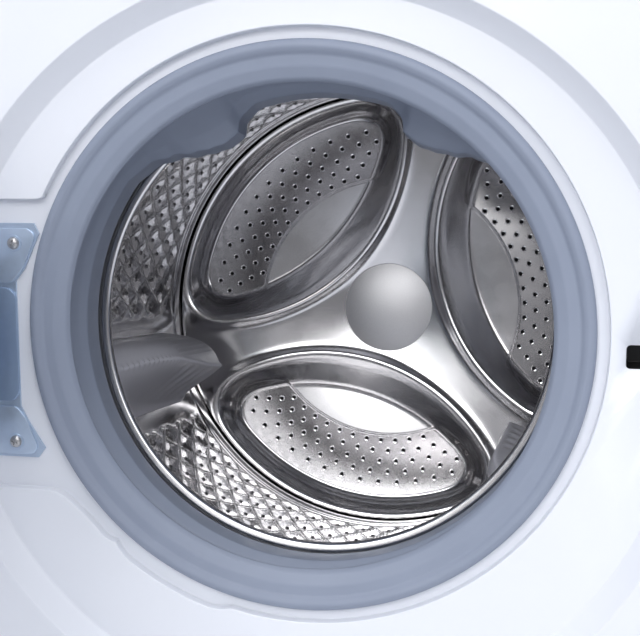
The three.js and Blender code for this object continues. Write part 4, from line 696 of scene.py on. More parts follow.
steel = polished_steel()
rolled_mouth = [
    (0.1907, mouth_depth + 0.0053),
    (0.1912, mouth_depth + 0.0026),
    (0.1928, mouth_depth + 0.0008),
    (0.1967, mouth_depth),
    (0.2500, mouth_depth + 0.0080),
    (0.2590, mouth_depth + 0.0135),
    (lap_radius, mouth_depth + 0.0190),
    (lap_radius, mouth_depth + 0.0350),
    (lap_radius - drum_gauge, mouth_depth + 0.0350),
    (lap_radius - drum_gauge, mouth_depth + 0.0200),
    (0.2578, mouth_depth + 0.0150),
    (0.2495, mouth_depth + 0.0098),
    (0.2022, mouth_depth + 0.0026),
    (0.1977, mouth_depth + 0.0105),
]
front_ring = placed(spun(rolled_mouth, 192, 0.0006, 3), leaning)
finished_piece("drum_mouth_ring", front_ring, steel, "drum", "polished_steel", "drum_front_ring")

emboss_height = 0.0031
wall_front = mouth_depth + 0.0206
wall_back = seam_depth + 0.013
wall_rows = 168
wall_line = [
    (drum_radius, wall_front + (wall_back - wall_front) * row / wall_rows) for row in range(wall_rows + 1)
]
drum_wall = spun(
    wall_line + [(drum_radius + drum_gauge, wall_back), (drum_radius + drum_gauge, wall_front)], 540
)


def emboss(depth, degrees):
    """How far the wall is pressed inwards at a depth and an angle."""
    around = (degrees - lifter_angles[0]) * diamonds_around / 360.0
    along = (depth - last_row) / diamond_length
    pillow = abs(math.sin(math.pi * (around + along)) * math.sin(math.pi * (around - along)))
    from_lifter = abs((degrees - lifter_angles[0] + 60.0) % 120.0 - 60.0)
    pressed = smooth(from_lifter, plain_half - 0.8, plain_half + 0.8)
    pressed *= smooth(depth, mouth_depth + 0.045, mouth_depth + 0.055)
    pressed *= 1.0 - smooth(depth, lattice_end - 0.004, lattice_end + 0.003)
    step = 0.0011 * (smooth(depth, 0.484, 0.489) - smooth(depth, 0.506, 0.512))
    return emboss_height * (1.0 - pillow**0.6) * pressed + step


for vert in drum_wall.verts:
    radius = math.hypot(vert.co.x, vert.co.z)
    if radius < drum_radius + drum_gauge / 2:
        lift = emboss(vert.co.y, math.degrees(math.atan2(vert.co.z, vert.co.x)))
        vert.co.x *= (radius - lift) / radius
        vert.co.z *= (radius - lift) / radius
drum_wall = placed(drum_wall, leaning)
finished_piece("drum_embossed_wall", drum_wall, embossed_steel(), "drum", "polished_steel", "drum_shell")

hub_radius = 0.054
hub_dish = 0.027
lobe_sink = 0.017
lobe_rim = 0.2555
floor_rim = 0.2365
lobe_top = (0.072, 0.235)
lobe_floor = (0.117, 0.271)
lobe_angles = [255.5, 15.5, 135.5]
corner_blend = 0.05
bead_rise = 0.0030
bead_spread = 0.0070
lens_radius = 0.1595
crescent_sink = 0.0012


def blended(first, second, blend):
    """The larger of two distances, with the corner between them rounded."""
    near = max(blend - abs(first - second), 0.0) / blend
    return max(first, second) + near * near * blend / 4.0


crest_ease = 0.3
foot_ease = 0.0115
crescent_lift = math.tan(math.radians(6.0))


def pressed_wall(share, width):
    """The fall of a pressed wall across its width: an even slope between two rounded bends."""
    foot = min(0.45, foot_ease / width)
    slope = 1.0 / (1.0 - (crest_ease + foot) / 2.0)
    if share < crest_ease:
        bend = share / crest_ease
        return slope * crest_ease * (bend**3 - bend**4 / 2.0)
    if share > 1.0 - foot:
        bend = (1.0 - share) / foot
        return 1.0 - slope * foot * (bend**3 - bend**4 / 2.0)
    return slope * (share - crest_ease / 2.0)


def back_depth(radius, degrees):
    """How far the drum's back lies behind its seam at a radius and an angle."""
    rim = drum_radius - 0.002
    depth = hub_dish * min(1.0, max(0.0, (rim - radius) / (rim - hub_radius)))
    for lobe in lobe_angles:
        angle = math.radians(degrees - lobe)
        along = radius * math.cos(angle)
        across = radius * math.sin(angle)
        if along < 0.0:
            continue
        top = math.hypot(along - sum(lobe_top), across) - lobe_top[1]
        foot = math.hypot(along - sum(lobe_floor), across) - lobe_floor[1]
        edge = blended(top, radius - lobe_rim, corner_blend)
        to_floor = max(0.0, blended(foot, radius - floor_rim, corner_blend))
        below = max(0.0, -edge)
        width = below + to_floor + 1e-5
        sunk = pressed_wall(below / width, width)
        beyond = max(0.0, radius - lens_radius)
        crescent = crescent_lift * beyond + crescent_sink * smooth(beyond, 0.0, 0.0028)
        depth += sunk * (lobe_sink + crescent * smooth(sunk, 0.6, 1.0))
        depth -= bead_rise * math.exp(-(((edge - 0.003) / bead_spread) ** 2))
    return depth


back_rings = 172
ring_step = 0.00118
back_radii = [0.020, 0.035, 0.050] + [hub_radius + ring_step * ring for ring in range(back_rings)]
back_line = [(radius, 0.0) for radius in back_radii]
back_line += [(0.2575, 0.0), (0.2590, 0.0), (0.2603, 0.0004), (0.2610, 0.0014), (lap_radius, 0.0030)]
back_line += [(lap_radius, 0.0120), (lap_radius - drum_gauge, 0.0120), (lap_radius - drum_gauge, 0.0035)]
far_radii = (0.256, 0.250, 0.240, 0.225, 0.210, 0.190, 0.170, 0.150, 0.130, 0.110, 0.090, 0.070)
back_line += [(radius, drum_gauge) for radius in far_radii + (hub_radius, 0.020)]
drum_back = spun(back_line, 480)
far_reach = 0.021
for vert in drum_back.verts:
    radius = math.hypot(vert.co.x, vert.co.z)
    if radius < 0.2592:
        far_side = abs(vert.co.y - drum_gauge) < 1e-6 and 0.06 < radius < 0.25
        reach = far_reach if far_side else 0.0
        degrees = math.degrees(math.atan2(vert.co.z, vert.co.x))
        near_radii = [min(radius + reach * share, 0.258) for share in (-1.0, -0.5, 0.0, 0.5, 1.0)]
        vert.co.y += max(back_depth(near, degrees) for near in near_radii)
    vert.co.y += seam_depth
drum_back = placed(drum_back, leaning)
finished_piece("drum_back_pressing", drum_back, steel, "drum", "polished_steel", "drum_back")

perforation_rows = ((0.1675, 11), (0.1806, 12), (0.1937, 13), (0.2068, 14), (0.2199, 13))
perforation_pitch = 6.15
drain_rim = 0.0037
drain_hole = 0.0024
wall_rim = 0.0024
wall_hole = 0.0015
floor_slope = math.atan2(hub_dish, drum_radius - 0.002 - hub_radius) - math.atan(crescent_lift)
drain_places = [
    (radius, lobe + (hole - (count - 1) / 2) * perforation_pitch)
    for lobe in lobe_angles
    for radius, count in perforation_rows
    for hole in range(count)
]
wall_places = []
for row in range(13):
    depth = last_row - row * diamond_length / 2
    for cell in range(diamonds_around):
        around = (cell + (1 - row % 2) / 2) * 360.0 / diamonds_around
        from_lifter = abs((around + 60.0) % 120.0 - 60.0)
        if depth > mouth_depth + 0.06 and from_lifter > plain_half + 2.0:
            wall_places.append((depth, lifter_angles[0] + around))


def punched(bm, rim, hole, segments, matrix):
    """A punched hole: a low pressed rim round a dark floor of painted shade, facing the -Y side of its
    matrix.
    """
    made = bmesh.ops.create_cone(
        bm, cap_ends=True, segments=segments, radius1=rim, radius2=rim * 0.96, depth=0.0018
    )["verts"]
    front = next(
        face for face in {face for vert in made for face in vert.link_faces} if face.normal.z < -0.9
    )
    bmesh.ops.inset_individual(bm, faces=[front], thickness=rim - hole, depth=-0.0004)
    # The floor takes the second material: a black disc of painted shade, not an open hole.
    front.material_index = 1
    made = {*made, *front.verts}
    bmesh.ops.transform(bm, matrix=matrix @ Matrix.Rotation(math.radians(-90), 4, "X"), verts=list(made))


perforations = bmesh.new()
for radius, degrees in drain_places:
    depth = seam_depth + back_depth(radius, degrees) + 0.0003
    turned = Matrix.Rotation(math.radians(-degrees), 4, "Y") @ Matrix.Translation((radius, depth, 0.0))
    punched(perforations, drain_rim, drain_hole, 14, turned @ Matrix.Rotation(-floor_slope, 4, "Z"))
for depth, degrees in wall_places:
    across = drum_radius - 0.0002
    turned = Matrix.Rotation(math.radians(-degrees), 4, "Y") @ Matrix.Translation((across, depth, 0.0))
    punched(perforations, wall_rim, wall_hole, 8, turned @ Matrix.Rotation(math.radians(-90), 4, "Z"))
perforations = placed(perforations, leaning)
perforated = finished_piece("drum_perforations", perforations, steel, "drum", "polished_steel")
# The holes are closed: their floors are black, painted shade for the dark tub seen through them.
painted_hole_shade = Finish("painted_hole_shade", (0.012, 0.012, 0.014), 0.9)
painted_hole_shade.set("Roughness", 0.85 + 0.1 * painted_hole_shade.speckle(0.01))
perforated.data.materials.append(painted_hole_shade.material)


# Lifters. Three hollow fins of pale grey plastic on the drum's wall. Each has a dotted upper face, a
# beaded crest that turns over to a scooped lower face with a fan of ribs, and a rounded nose.

lifter_front = 0.128
lifter_length = 0.350
lifter_height = 0.0610
lifter_half = 0.0425
lifter_foot = 0.2597
crest_start = -0.2
crest_drift = 0.55
crest_bead = 0.0022
bead_count = 50.0
rib_height = 0.0021
rib_count = 15.0
nose_start = 0.84


def lifter_plastic():
    plastic = Finish("lifter_plastic", (0.7, 0.7, 0.76), 0.36)
    plastic.set("Roughness", 0.3 + 0.14 * plastic.speckle(0.01))
    plastic.tint(plastic.speckle(0.05), (0.7, 0.7, 0.76), (0.62, 0.62, 0.68))
    spread = plastic.node("ShaderNodeTexCoord", output="UV")
    across = plastic.node("ShaderNodeSeparateXYZ", values={"Vector": spread}, output=0)
    along = plastic.node("ShaderNodeSeparateXYZ", values={"Vector": spread}, output=1)
    cells = plastic.node("ShaderNodeMapping", values={"Vector": spread, "Scale": (16.0, 50.0, 1.0)})
    even = {"Vector": cells, "Scale": 1.0, "Randomness": 0.0}
    dot = plastic.node("ShaderNodeTexVoronoi", {"voronoi_dimensions": "2D"}, even)
    dimple = plastic.node("ShaderNodeValToRGB", {"stops": ((0.16, 0.0), (0.34, 1.0))}, {"Fac": dot})
    dotted = (across > 0.12) * (across < 0.5) * (along > 0.5) * (along < 0.9)
    plastic.relief(1.0 - (1.0 - dimple) * dotted, 0.0012, 0.9)
    return plastic


def lifter():
    """One fin, pointing along +X from the drum's axis, before it is turned to its angle."""
    bm = bmesh.new()
    bmesh.ops.create_grid(bm, x_segments=72, y_segments=200, size=1.0)
    layer = bm.loops.layers.uv.new("spread")
    for face in bm.faces:
        for loop in face.loops:
            loop[layer].uv = ((loop.vert.co.x + 1.0) / 2.0, (loop.vert.co.y + 1.0) / 2.0)
    for vert in bm.verts:
        side = 2.0 * ((vert.co.x + 1.0) / 2.0) ** 1.2 - 1.0
        along = (vert.co.y + 1.0) / 2.0
        crest = crest_start + crest_drift * smooth(along, 0.3, 0.95)
        reach = side - crest
        share = -reach / (1.0 + crest) if reach < 0.0 else reach / (1.0 - crest)
        slope = 1.0 - share**2.8 if reach < 0.0 else 0.5 + 0.5 * math.cos(math.pi * share**0.85)
        ending = smooth(along, nose_start, 1.0)
        nose = max(0.0, 1.0 - ending**2.2) ** 0.42
        rise = lifter_height * slope * smooth(along, -0.06, 0.5) * nose
        beads = 0.5 + 0.5 * math.cos(along * 2.0 * math.pi * bead_count)
        rise += crest_bead * math.exp(-((reach / 0.07) ** 2)) * smooth(along, 0.05, 0.2) * nose * beads
        fan = smooth(reach, 0.06, 0.16) * (1.0 - smooth(reach, 0.4, 0.75))
        fan *= smooth(along, 0.45, 0.62) * nose
        rise += rib_height * fan * math.cos((along * rib_count + reach * 1.6) * 2.0 * math.pi)
        width = lifter_half * (1.0 - 0.3 * ending**2) * (0.8 + 0.2 * smooth(along, 0.0, 0.12))
        across = side * width
        foot = math.sqrt(lifter_foot**2 - across**2)
        vert.co = (foot - rise, lifter_front + lifter_length * along, across)
    rim = [edge for edge in bm.edges if edge.is_boundary]
    bmesh.ops.holes_fill(bm, edges=rim)
    bmesh.ops.recalc_face_normals(bm, faces=bm.faces)
    return bm


fin_plastic = lifter_plastic()
for number, degrees in enumerate(lifter_angles, 1):
    fin = placed(lifter(), leaning @ Matrix.Rotation(math.radians(-degrees), 4, "Y"))
    finished_piece(f"lifter_fin_{number}", fin, fin_plastic, "drum", "grey_plastic", f"lifter_{number}")


# Hub cap. A satin stainless disc, slightly domed, pressed over the shaft's bolt in the middle of the
# drum's back.

hub_front = 0.5403
cap_radius = hub_radius
cap_dome = 0.0029
cap_line = [(cap_radius * step / 24, hub_front + cap_dome * (step / 24) ** 2) for step in range(25)]
cap_line += [(cap_radius, hub_front + cap_dome + 0.0006)]
cap_line += [(cap_radius, hub_front + 0.0044), (0.0, hub_front + 0.0044)]
satin = Finish("satin_steel", (0.78, 0.775, 0.79), 0.33, 1.0)
grain = satin.speckle(0.0013, detail=5.0)
satin.set("Roughness", 0.27 + 0.1 * grain)
satin.tint(grain, (0.83, 0.825, 0.84), (0.72, 0.715, 0.73))
satin.relief(grain, 0.00012, 0.35)
cap = placed(spun(cap_line, 128, closed=False), leaning)
finished_piece("hub_cap_disc", cap, satin, "drum", "brushed_steel", "hub_cap")


# Hinge. A bracket of blue zinc-plated steel in the front panel's pocket, with a raised leaf, a folded
# tab and a cross-head screw above and below it, and the pin through its knuckles.

def zinc_plate(name, colour, roughness=0.34):
    zinc = Finish(name, colour, roughness, 0.75)
    mottle = zinc.speckle(0.006, detail=5.0)
    light = tuple(min(1.0, part * 1.08) for part in colour)
    zinc.tint(mottle, light, tuple(part * 0.93 for part in colour))
    zinc.set("Roughness", roughness - 0.04 + 0.1 * mottle)
    zinc.relief(zinc.speckle(0.0008), 0.00005, 0.3)
    return zinc


def pocket_slab(corners, front, back, rounding):
    """An outline in millimetres from the middle of the opening, as a slab with softened edges."""
    outline = [(x / 1000.0, mouth[1] + z / 1000.0) for x, z in corners]
    slab = front_slab(outline, bead_plane + front / 1000.0, bead_plane + back / 1000.0, rounding, 4)
    return soften(slab, 0.0005, 3)


zinc = zinc_plate("blue_zinc", (0.56, 0.66, 0.80))
dull_zinc = zinc_plate("dull_zinc", (0.34, 0.44, 0.60), 0.42)
softened_piece("hinge_bracket_plate", "hinge_bracket", zinc, "cabinet", "zinc_steel", bare_radius)
upper_tab = [(-262, 78), (-219, 78), (-213.5, 72), (-223.5, 49), (-229, 41), (-236, 34), (-262, 34)]
lower_tab = [(-262, -66), (-235, -66), (-227, -76), (-217.5, -99), (-222, -105.5), (-258, -105.5)]
leaf = [(-261, 30.5), (-237, 30.5), (-231.5, 24), (-231.5, -54), (-237, -61.5), (-261, -61.5)]
finished_piece("hinge_tab_upper", pocket_slab(upper_tab, -1.9, -0.2, 0.003), zinc, "cabinet", "zinc_steel")
finished_piece("hinge_tab_lower", pocket_slab(lower_tab, -1.9, -0.2, 0.003), zinc, "cabinet", "zinc_steel")
finished_piece("hinge_leaf", pocket_slab(leaf, -2.6, -0.2, 0.003), dull_zinc, "cabinet", "zinc_steel")
screw_steel = Finish("screw_steel", (0.5, 0.49, 0.49), 0.3, 1.0)
screw_steel.set("Roughness", 0.24 + 0.2 * screw_steel.speckle(0.002))
head_line = [(0.0, -0.0056), (0.0018, -0.0055), (0.0034, -0.0049)]
head_line += [(0.0046, -0.0038), (0.0050, -0.0024), (0.0, -0.0024)]
for name, (x, z) in {"upper": (-0.2318, 0.0662), "lower": (-0.2362, -0.0950)}.items():
    head = spun(head_line, 48, closed=False)
    for turn in (20.0, 110.0):
        slot = front_slab(rectangle((-0.0026, 0.0026), (-0.0006, 0.0006)), -0.0070, -0.0042)
        head = cut(head, placed(slot, Matrix.Rotation(math.radians(turn), 4, "Y")))
    washer = spun([(0.0035, -0.0026), (0.0062, -0.0026), (0.0066, -0.0018), (0.0035, -0.0018)], 48)
    seat = Matrix.Translation((x, bead_plane, mouth[1] + z))
    finished_piece(f"hinge_screw_{name}", placed(head, seat), screw_steel, "cabinet", "zinc_steel")
    finished_piece(f"hinge_washer_{name}", placed(washer, seat), zinc, "cabinet", "zinc_steel")
softened_piece("hinge_pin_rod", "hinge_pin", screw_steel, "cabinet", "zinc_steel", 0.0005, 2)


# Door. Two white shells clipped together round a glass bowl, with a dark window in the outer one. It
# is drawn shut and then swung open about the hinge's pin. Its arm and latch hook are plated steel.

window_height = 0.508
arm_across = (-292, -259)
arm_heights = (440.7, 567.3)
pin_place = (-0.270, bead_plane - 0.034)
swung = (
    Matrix.Translation((pin_place[0], pin_place[1], 0.0))
    @ Matrix.Rotation(math.radians(-90), 4, "Z")
    @ Matrix.Translation((-pin_place[0], -pin_place[1], 0.0))
)


def door_round(profile, height, steps=192, rounding=0.0, closed=True):
    """A profile of (radius, depth) in millimetres, turned about a level axis and shown shut."""
    scaled = [(radius / 1000.0, depth / 1000.0) for radius, depth in profile]
    turned = spun(scaled, steps, rounding, 3, closed)
    return placed(turned, Matrix.Translation((0.0, bead_plane, height)))


def door_slab(x, z, depth, rounding=0.0):
    """A block of the shut door, its spans in millimetres."""
    spans = [tuple(value / 1000.0 for value in span) for span in (x, z)]
    front, back = [bead_plane + value / 1000.0 for value in depth]
    return front_slab(rectangle(*spans), front, back, rounding, 6)


def white_moulding():
    plastic = Finish("white_moulding", (0.84, 0.85, 0.88), 0.34)
    plastic.set("Roughness", 0.3 + 0.1 * plastic.speckle(0.06))
    plastic.tint(plastic.speckle(0.25, detail=1.0), (0.86, 0.87, 0.9), (0.82, 0.835, 0.87))
    plastic.relief(plastic.speckle(0.0009, detail=1.0), 0.00004, 0.3)
    return plastic


moulding = white_moulding()
cover_line = [(0, -64), (150, -62.6), (262, -57), (273, -54), (279, -49), (283, -42), (284, -30), (281, -30)]
cover_line += [(280, -41), (276, -47), (270, -51.4), (261, -54), (150, -59.6), (0, -61)]
cover = door_round(cover_line, seat_middle[1], closed=False)
cover = cut(cover, front_disc(0.1905, bead_plane - 0.08, bead_plane - 0.05, (0.0, window_height)))
cover = cut(cover, door_slab(arm_across, arm_heights, (-70, -20)))
cover = placed(soften(cover, 0.0008, 2), swung)
finished_piece("door_cover_shell", cover, moulding, "door", "white_plastic", "door_outer_cover")

frame_line = [(180, -9), (271, -9), (277, -11.5), (281, -18), (283.4, -29.4), (280.4, -29.4), (278, -19)]
frame_line += [(275, -14.4), (270, -12), (180, -12)]
inner_frame = door_round(frame_line, seat_middle[1], rounding=0.0008)
inner_frame = cut(inner_frame, front_disc(0.186, bead_plane - 0.03, bead_plane + 0.02, mouth))
inner_frame = cut(inner_frame, door_slab(arm_across, arm_heights, (-70, 0)))
inner_frame = cut(inner_frame, door_slab((244, 262), (496.4, 525.6), (-40, 0), 0.003))
inner_frame = placed(soften(inner_frame, 0.0006, 2), swung)
finished_piece("door_frame_shell", inner_frame, moulding, "door", "white_plastic", "door_inner_frame")

bowl_line = [(0, 81), (60, 79.6), (104, 76), (126, 71.4), (140, 65), (156, 53), (168, 37), (180, -12.3)]
bowl_line += [(194, -12.3), (194, -15.3), (176, -15.3), (164.4, 35), (153, 49.6), (138, 61), (124, 67.2)]
bowl_line += [(103, 72), (60, 75.6), (0, 77)]
glass = Finish("bowl_glass", (0.93, 0.96, 0.97), 0.03, Transmission_Weight=0.9, IOR=1.5)
glass.set("Roughness", 0.02 + 0.03 * glass.speckle(0.05))
bowl = placed(door_round(bowl_line, mouth[1], closed=False), swung)
finished_piece("door_bowl_glass", bowl, glass, "door", "bowl_glass", "door_bowl")

window_line = [(0, -61.6), (150, -60.2), (186, -59.4), (188.6, -58.2), (189.6, -56.6)]
window_line += [(187, -56.4), (0, -57.4)]
window = placed(door_round(window_line, window_height, closed=False), swung)
dark_glass = Finish("dark_glass", (0.012, 0.013, 0.016), 0.06, Coat_Weight=0.6, Coat_Roughness=0.03)
dark_glass.set("Roughness", 0.05 + 0.05 * dark_glass.speckle(0.08))
finished_piece("door_window_pane", window, dark_glass, "door", "dark_glass", "door_window")
for node, name, finish, body in (
    ("hinge_arm", "hinge_arm_plate", dull_zinc, "door"),
    ("latch_hook", "latch_hook_claw", screw_steel, "latch"),
):
    softened_piece(name, node, finish, body, "zinc_steel", 0.0005)


# Controls. A white fascia moulding over the board, with a dark display, a fluted dial, two round and
# two oblong buttons of pale grey plastic, and the detergent drawer with its finger recess.

control_height = 0.9075
fascia_front = panel_face - 0.010
print_front = fascia_front - 0.00012
print_back = fascia_front + 0.0003
pale_plastic = Finish("pale_plastic", (0.60, 0.62, 0.66), 0.32)
pale_plastic.set("Roughness", 0.28 + 0.1 * pale_plastic.speckle(0.03))
pale_plastic.tint(pale_plastic.speckle(0.05), (0.63, 0.65, 0.69), (0.57, 0.59, 0.63))
pale_plastic.relief(pale_plastic.speckle(0.0007), 0.00003, 0.25)
print_grey = Finish("printed_grey", (0.2, 0.21, 0.23), 0.5)
print_grey.set("Roughness", 0.45 + 0.1 * print_grey.speckle(0.004))
softened_piece("fascia_moulding", "control_fascia", moulding, "cabinet", "white_plastic", 0.0010)
softened_piece("display_screen", "display_window", dark_glass, "cabinet", "dark_glass", 0.0008)


def gathered(solids):
    """Several separate solids in one mesh."""
    whole = bmesh.new()
    for solid in solids:
        mesh = bpy.data.meshes.new("gathered")
        solid.to_mesh(mesh)
        solid.free()
        whole.from_mesh(mesh)
        bpy.data.meshes.remove(mesh)
    return whole


def facing(profile, steps=96, closed=False):
    """A profile of (radius, depth) from the fascia's face, turned about the Y axis."""
    return spun([(radius, fascia_front + depth) for radius, depth in profile], steps, closed=closed)


def control_place(x):
    """The matrix of a knob or button on the fascia's middle line."""
    return Matrix.Translation((x, 0.0, control_height))


dial_flutes = 18
flute_depth = 0.036
dial_line = [(0.0, -0.0206), (0.0235, -0.0206), (0.0252, -0.0202), (0.0264, -0.0192), (0.0298, -0.0158)]
dial_line += [(0.0312, -0.0152), (0.0324, -0.0146), (0.0330, -0.0136), (0.0330, -0.0012)]
dial_line += [(0.0326, -0.0007), (0.0040, -0.0007), (0.0040, 0.0100), (0.0, 0.0100)]
dial = facing(dial_line, 288)
for vert in dial.verts:
    radius = math.hypot(vert.co.x, vert.co.z)
    if radius > 0.0305:
        flute = 0.5 + 0.5 * math.cos(math.atan2(vert.co.z, vert.co.x) * dial_flutes)
        vert.co.x *= 1.0 - flute_depth * flute**3
        vert.co.z *= 1.0 - flute_depth * flute**3
pointer = rectangle((-0.0011, 0.0011), (0.0125, 0.0232))
dial = cut(dial, front_slab(pointer, fascia_front - 0.0220, fascia_front - 0.0199, 0.0010, 4))
dial_place = control_place(-0.060)
finished_piece("dial_knob", placed(dial, dial_place), pale_plastic, "dial", "pale_grey_plastic", "cycle_dial")
mark = front_slab(pointer, fascia_front - 0.02035, fascia_front - 0.0195, 0.0009, 4)
finished_piece("dial_pointer", placed(mark, dial_place), print_grey, "dial", "pale_grey_plastic")
tick_outline = rectangle((-0.0006, 0.0006), (0.0362, 0.0400))
tick_turns = [dial_place @ Matrix.Rotation(math.radians(30 * tick), 4, "Y") for tick in range(12)]
ticks = gathered(placed(front_slab(tick_outline, print_front, print_back), turn) for turn in tick_turns)
finished_piece("dial_ticks", ticks, print_grey, "cabinet", "white_plastic")

power_place = control_place(0.305)
start_place = control_place(0.240)
for name, place, radius in (("power", power_place, 0.012), ("start", start_place, 0.017)):
    flange = radius + 0.0018
    cap_line = [(0.0, -0.0021), (radius * 0.6, -0.0020), (radius - 0.0016, -0.0017)]
    cap_line += [(radius - 0.0004, -0.0010), (radius, 0.0), (radius, 0.0033), (flange, 0.0034)]
    cap_line += [(flange, 0.0052), (0.004, 0.0052), (0.004, 0.0110), (0.0, 0.0110)]
    button = placed(facing(cap_line), place)
    finished_piece(f"{name}_cap", button, pale_plastic, name, "pale_grey_plastic", f"{name}_button")
    ring_line = [(radius + 0.0006, -0.0004), (radius + 0.0022, -0.0004), (radius + 0.0028, 0.0001)]
    ring_line += [(radius + 0.0028, 0.0008), (radius + 0.0006, 0.0008)]
    surround = placed(facing(ring_line, closed=True), place)
    finished_piece(f"{name}_surround", surround, moulding, "cabinet", "white_plastic")

mark_front = fascia_front - 0.00225
mark_back = fascia_front - 0.0016
arc = bmesh.new()
arc_section = ((0.0, 0.0), (0.0009, 0.0), (0.0009, 0.0006), (0.0, 0.0006))
arc.faces.new([arc.verts.new((0.0040 + out, mark_front + back, 0.0)) for out, back in arc_section])
bmesh.ops.spin(
    arc,
    geom=arc.verts[:] + arc.edges[:] + arc.faces[:],
    cent=(0.0, 0.0, 0.0),
    axis=(0.0, 1.0, 0.0),
    angle=math.radians(290),
    steps=40,
)
bmesh.ops.remove_doubles(arc, verts=arc.verts, dist=1e-6)
bmesh.ops.recalc_face_normals(arc, faces=arc.faces)
arc = placed(arc, power_place @ Matrix.Rotation(math.radians(-55), 4, "Y"))
finished_piece("power_mark_ring", arc, print_grey, "power", "pale_grey_plastic")
bar = front_slab(rectangle((-0.0005, 0.0005), (0.0016, 0.0058)), mark_front, mark_back)
finished_piece("power_mark_bar", placed(bar, power_place), print_grey, "power", "pale_grey_plastic")
arrow_outline = [(-0.0034, -0.0042), (0.0044, 0.0), (-0.0034, 0.0042)]
arrow = front_slab(arrow_outline, fascia_front - 0.0023, mark_back)
finished_piece("start_mark", placed(arrow, start_place), print_grey, "start", "pale_grey_plastic")
for body in ("option_1", "option_2"):
    node = body.replace("_", "_button_")
    softened_piece(f"{body}_cap", node, pale_plastic, body, "pale_grey_plastic", 0.0007)
softened_piece("drawer_moulding", "detergent_drawer", moulding, "drawer", "white_plastic", 0.0008)


# Display digits. The time left glows through the dark screen as lit bars, seven to a digit, with a
# colon after the hours.

digit_middle = 0.9155
digit_bars = {
    "top": ((-0.0030, 0.0030), (0.0068, 0.0078)),
    "middle": ((-0.0030, 0.0030), (-0.0005, 0.0005)),
    "bottom": ((-0.0030, 0.0030), (-0.0078, -0.0068)),
    "upper_left": ((-0.0042, -0.0032), (0.0008, 0.0070)),
    "upper_right": ((0.0032, 0.0042), (0.0008, 0.0070)),
    "lower_left": ((-0.0042, -0.0032), (-0.0070, -0.0008)),
    "lower_right": ((0.0032, 0.0042), (-0.0070, -0.0008)),
    "lower_dot": ((-0.0006, 0.0006), (-0.0034, -0.0022)),
    "upper_dot": ((-0.0006, 0.0006), (0.0022, 0.0034)),
}
shown_digits = (
    (0.078, ("upper_right", "lower_right")),
    (0.098, ("top", "middle", "bottom", "upper_right", "lower_right")),
    (0.110, ("top", "bottom", "upper_left", "upper_right", "lower_left", "lower_right")),
    (0.088, ("lower_dot", "upper_dot")),
)
glow_light = {"Emission_Color": (0.7, 0.88, 1.0, 1.0), "Emission_Strength": 0.9}
glow = Finish("lit_digits", (0.7, 0.85, 0.95), 0.4, **glow_light)
glow.tint(glow.speckle(0.004), (0.75, 0.88, 0.96), (0.65, 0.8, 0.92))
screen_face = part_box("display_window")[0].y
lit_bars = []
for digit_x, bars in shown_digits:
    for bar_name in bars:
        lit_bar = front_slab(rectangle(*digit_bars[bar_name]), screen_face - 0.00012, screen_face + 0.0002)
        lit_bars.append(placed(lit_bar, Matrix.Translation((digit_x, 0.0, digit_middle))))
finished_piece("display_digits", gathered(lit_bars), glow, "cabinet", "dark_glass")


# Top, kick panel, flap and filter. The top is a painted pressing; the kick panel clips on below the
# front, with a flap over the drain filter's finger grip.

softened_piece("top_pressing", "top_panel", enamel, "cabinet", "white_paint", 0.0016, corner=20.0)
softened_piece("kick_moulding", "kick_panel", moulding, "cabinet", "white_plastic", 0.0010)
softened_piece("flap_moulding", "filter_flap", moulding, "flap", "white_plastic", 0.0009)
filter_plastic = Finish("filter_plastic", (0.19, 0.2, 0.22), 0.42)
filter_plastic.set("Roughness", 0.36 + 0.14 * filter_plastic.speckle(0.004))
filter_plastic.relief(filter_plastic.speckle(0.0009), 0.00005, 0.35)
filter_place = Matrix.Translation((0.255, 0.0, 0.074))
knob_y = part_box("filter_cap")[0].y + 0.019
knob_line = [(0.0, -0.0080), (0.0270, -0.0080), (0.0292, -0.0074), (0.0330, -0.0044), (0.0330, -0.0004)]
knob_line += [(0.0282, 0.0), (0.0282, 0.0220), (0.0240, 0.0240), (0.0240, 0.0600), (0.0, 0.0600)]
knob = spun([(radius, knob_y + depth) for radius, depth in knob_line], 96, closed=False)
grip = front_slab(rectangle((-0.024, 0.024), (-0.004, 0.004)), knob_y - 0.019, knob_y - 0.006, 0.0035, 6)
knob = cut(knob, grip, "UNION")
knob = placed(soften(knob, 0.0006, 2, 50.0), filter_place)
finished_piece("filter_knob", knob, filter_plastic, "filter", "grey_plastic", "filter_cap")


# Feet. Four levelling feet, each with a pad of black rubber that has a groove round its edge, a coned
# top and a round boss. The stem above it screws up into the base.

black_rubber = Finish("black_rubber", (0.025, 0.025, 0.027), 0.75)
black_rubber.set("Roughness", 0.68 + 0.16 * black_rubber.speckle(0.004))
black_rubber.relief(black_rubber.speckle(0.0012), 0.0001, 0.4)
foot_line = [(0.0, 0.0), (0.0226, 0.0), (0.0240, 0.0014), (0.0240, 0.0034), (0.0234, 0.0040)]
foot_line += [(0.0240, 0.0046), (0.0240, 0.0074), (0.0226, 0.0090), (0.0130, 0.0112), (0.0120, 0.0130)]
foot_line += [(0.0120, 0.0236), (0.0050, 0.0237), (0.0050, 0.0385), (0.0040, 0.0400), (0.0, 0.0400)]
for number, letter in enumerate("abcd", 1):
    low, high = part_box(f"foot_{number}")
    pad = placed(spun(foot_line, 64, closed=False), Matrix.Rotation(math.radians(90), 4, "X"))
    pad = placed(pad, Matrix.Translation(((low.x + high.x) / 2, (low.y + high.y) / 2, 0.0)))
    body = f"foot_{letter}"
    finished_piece(f"foot_pad_{number}", pad, black_rubber, body, "black_rubber", f"foot_{number}")


# Inlet valve and lock. The valve's two threaded stubs stand out through the rear panel for the supply
# hoses, and the lock's case sits behind the slot in the door's seat.

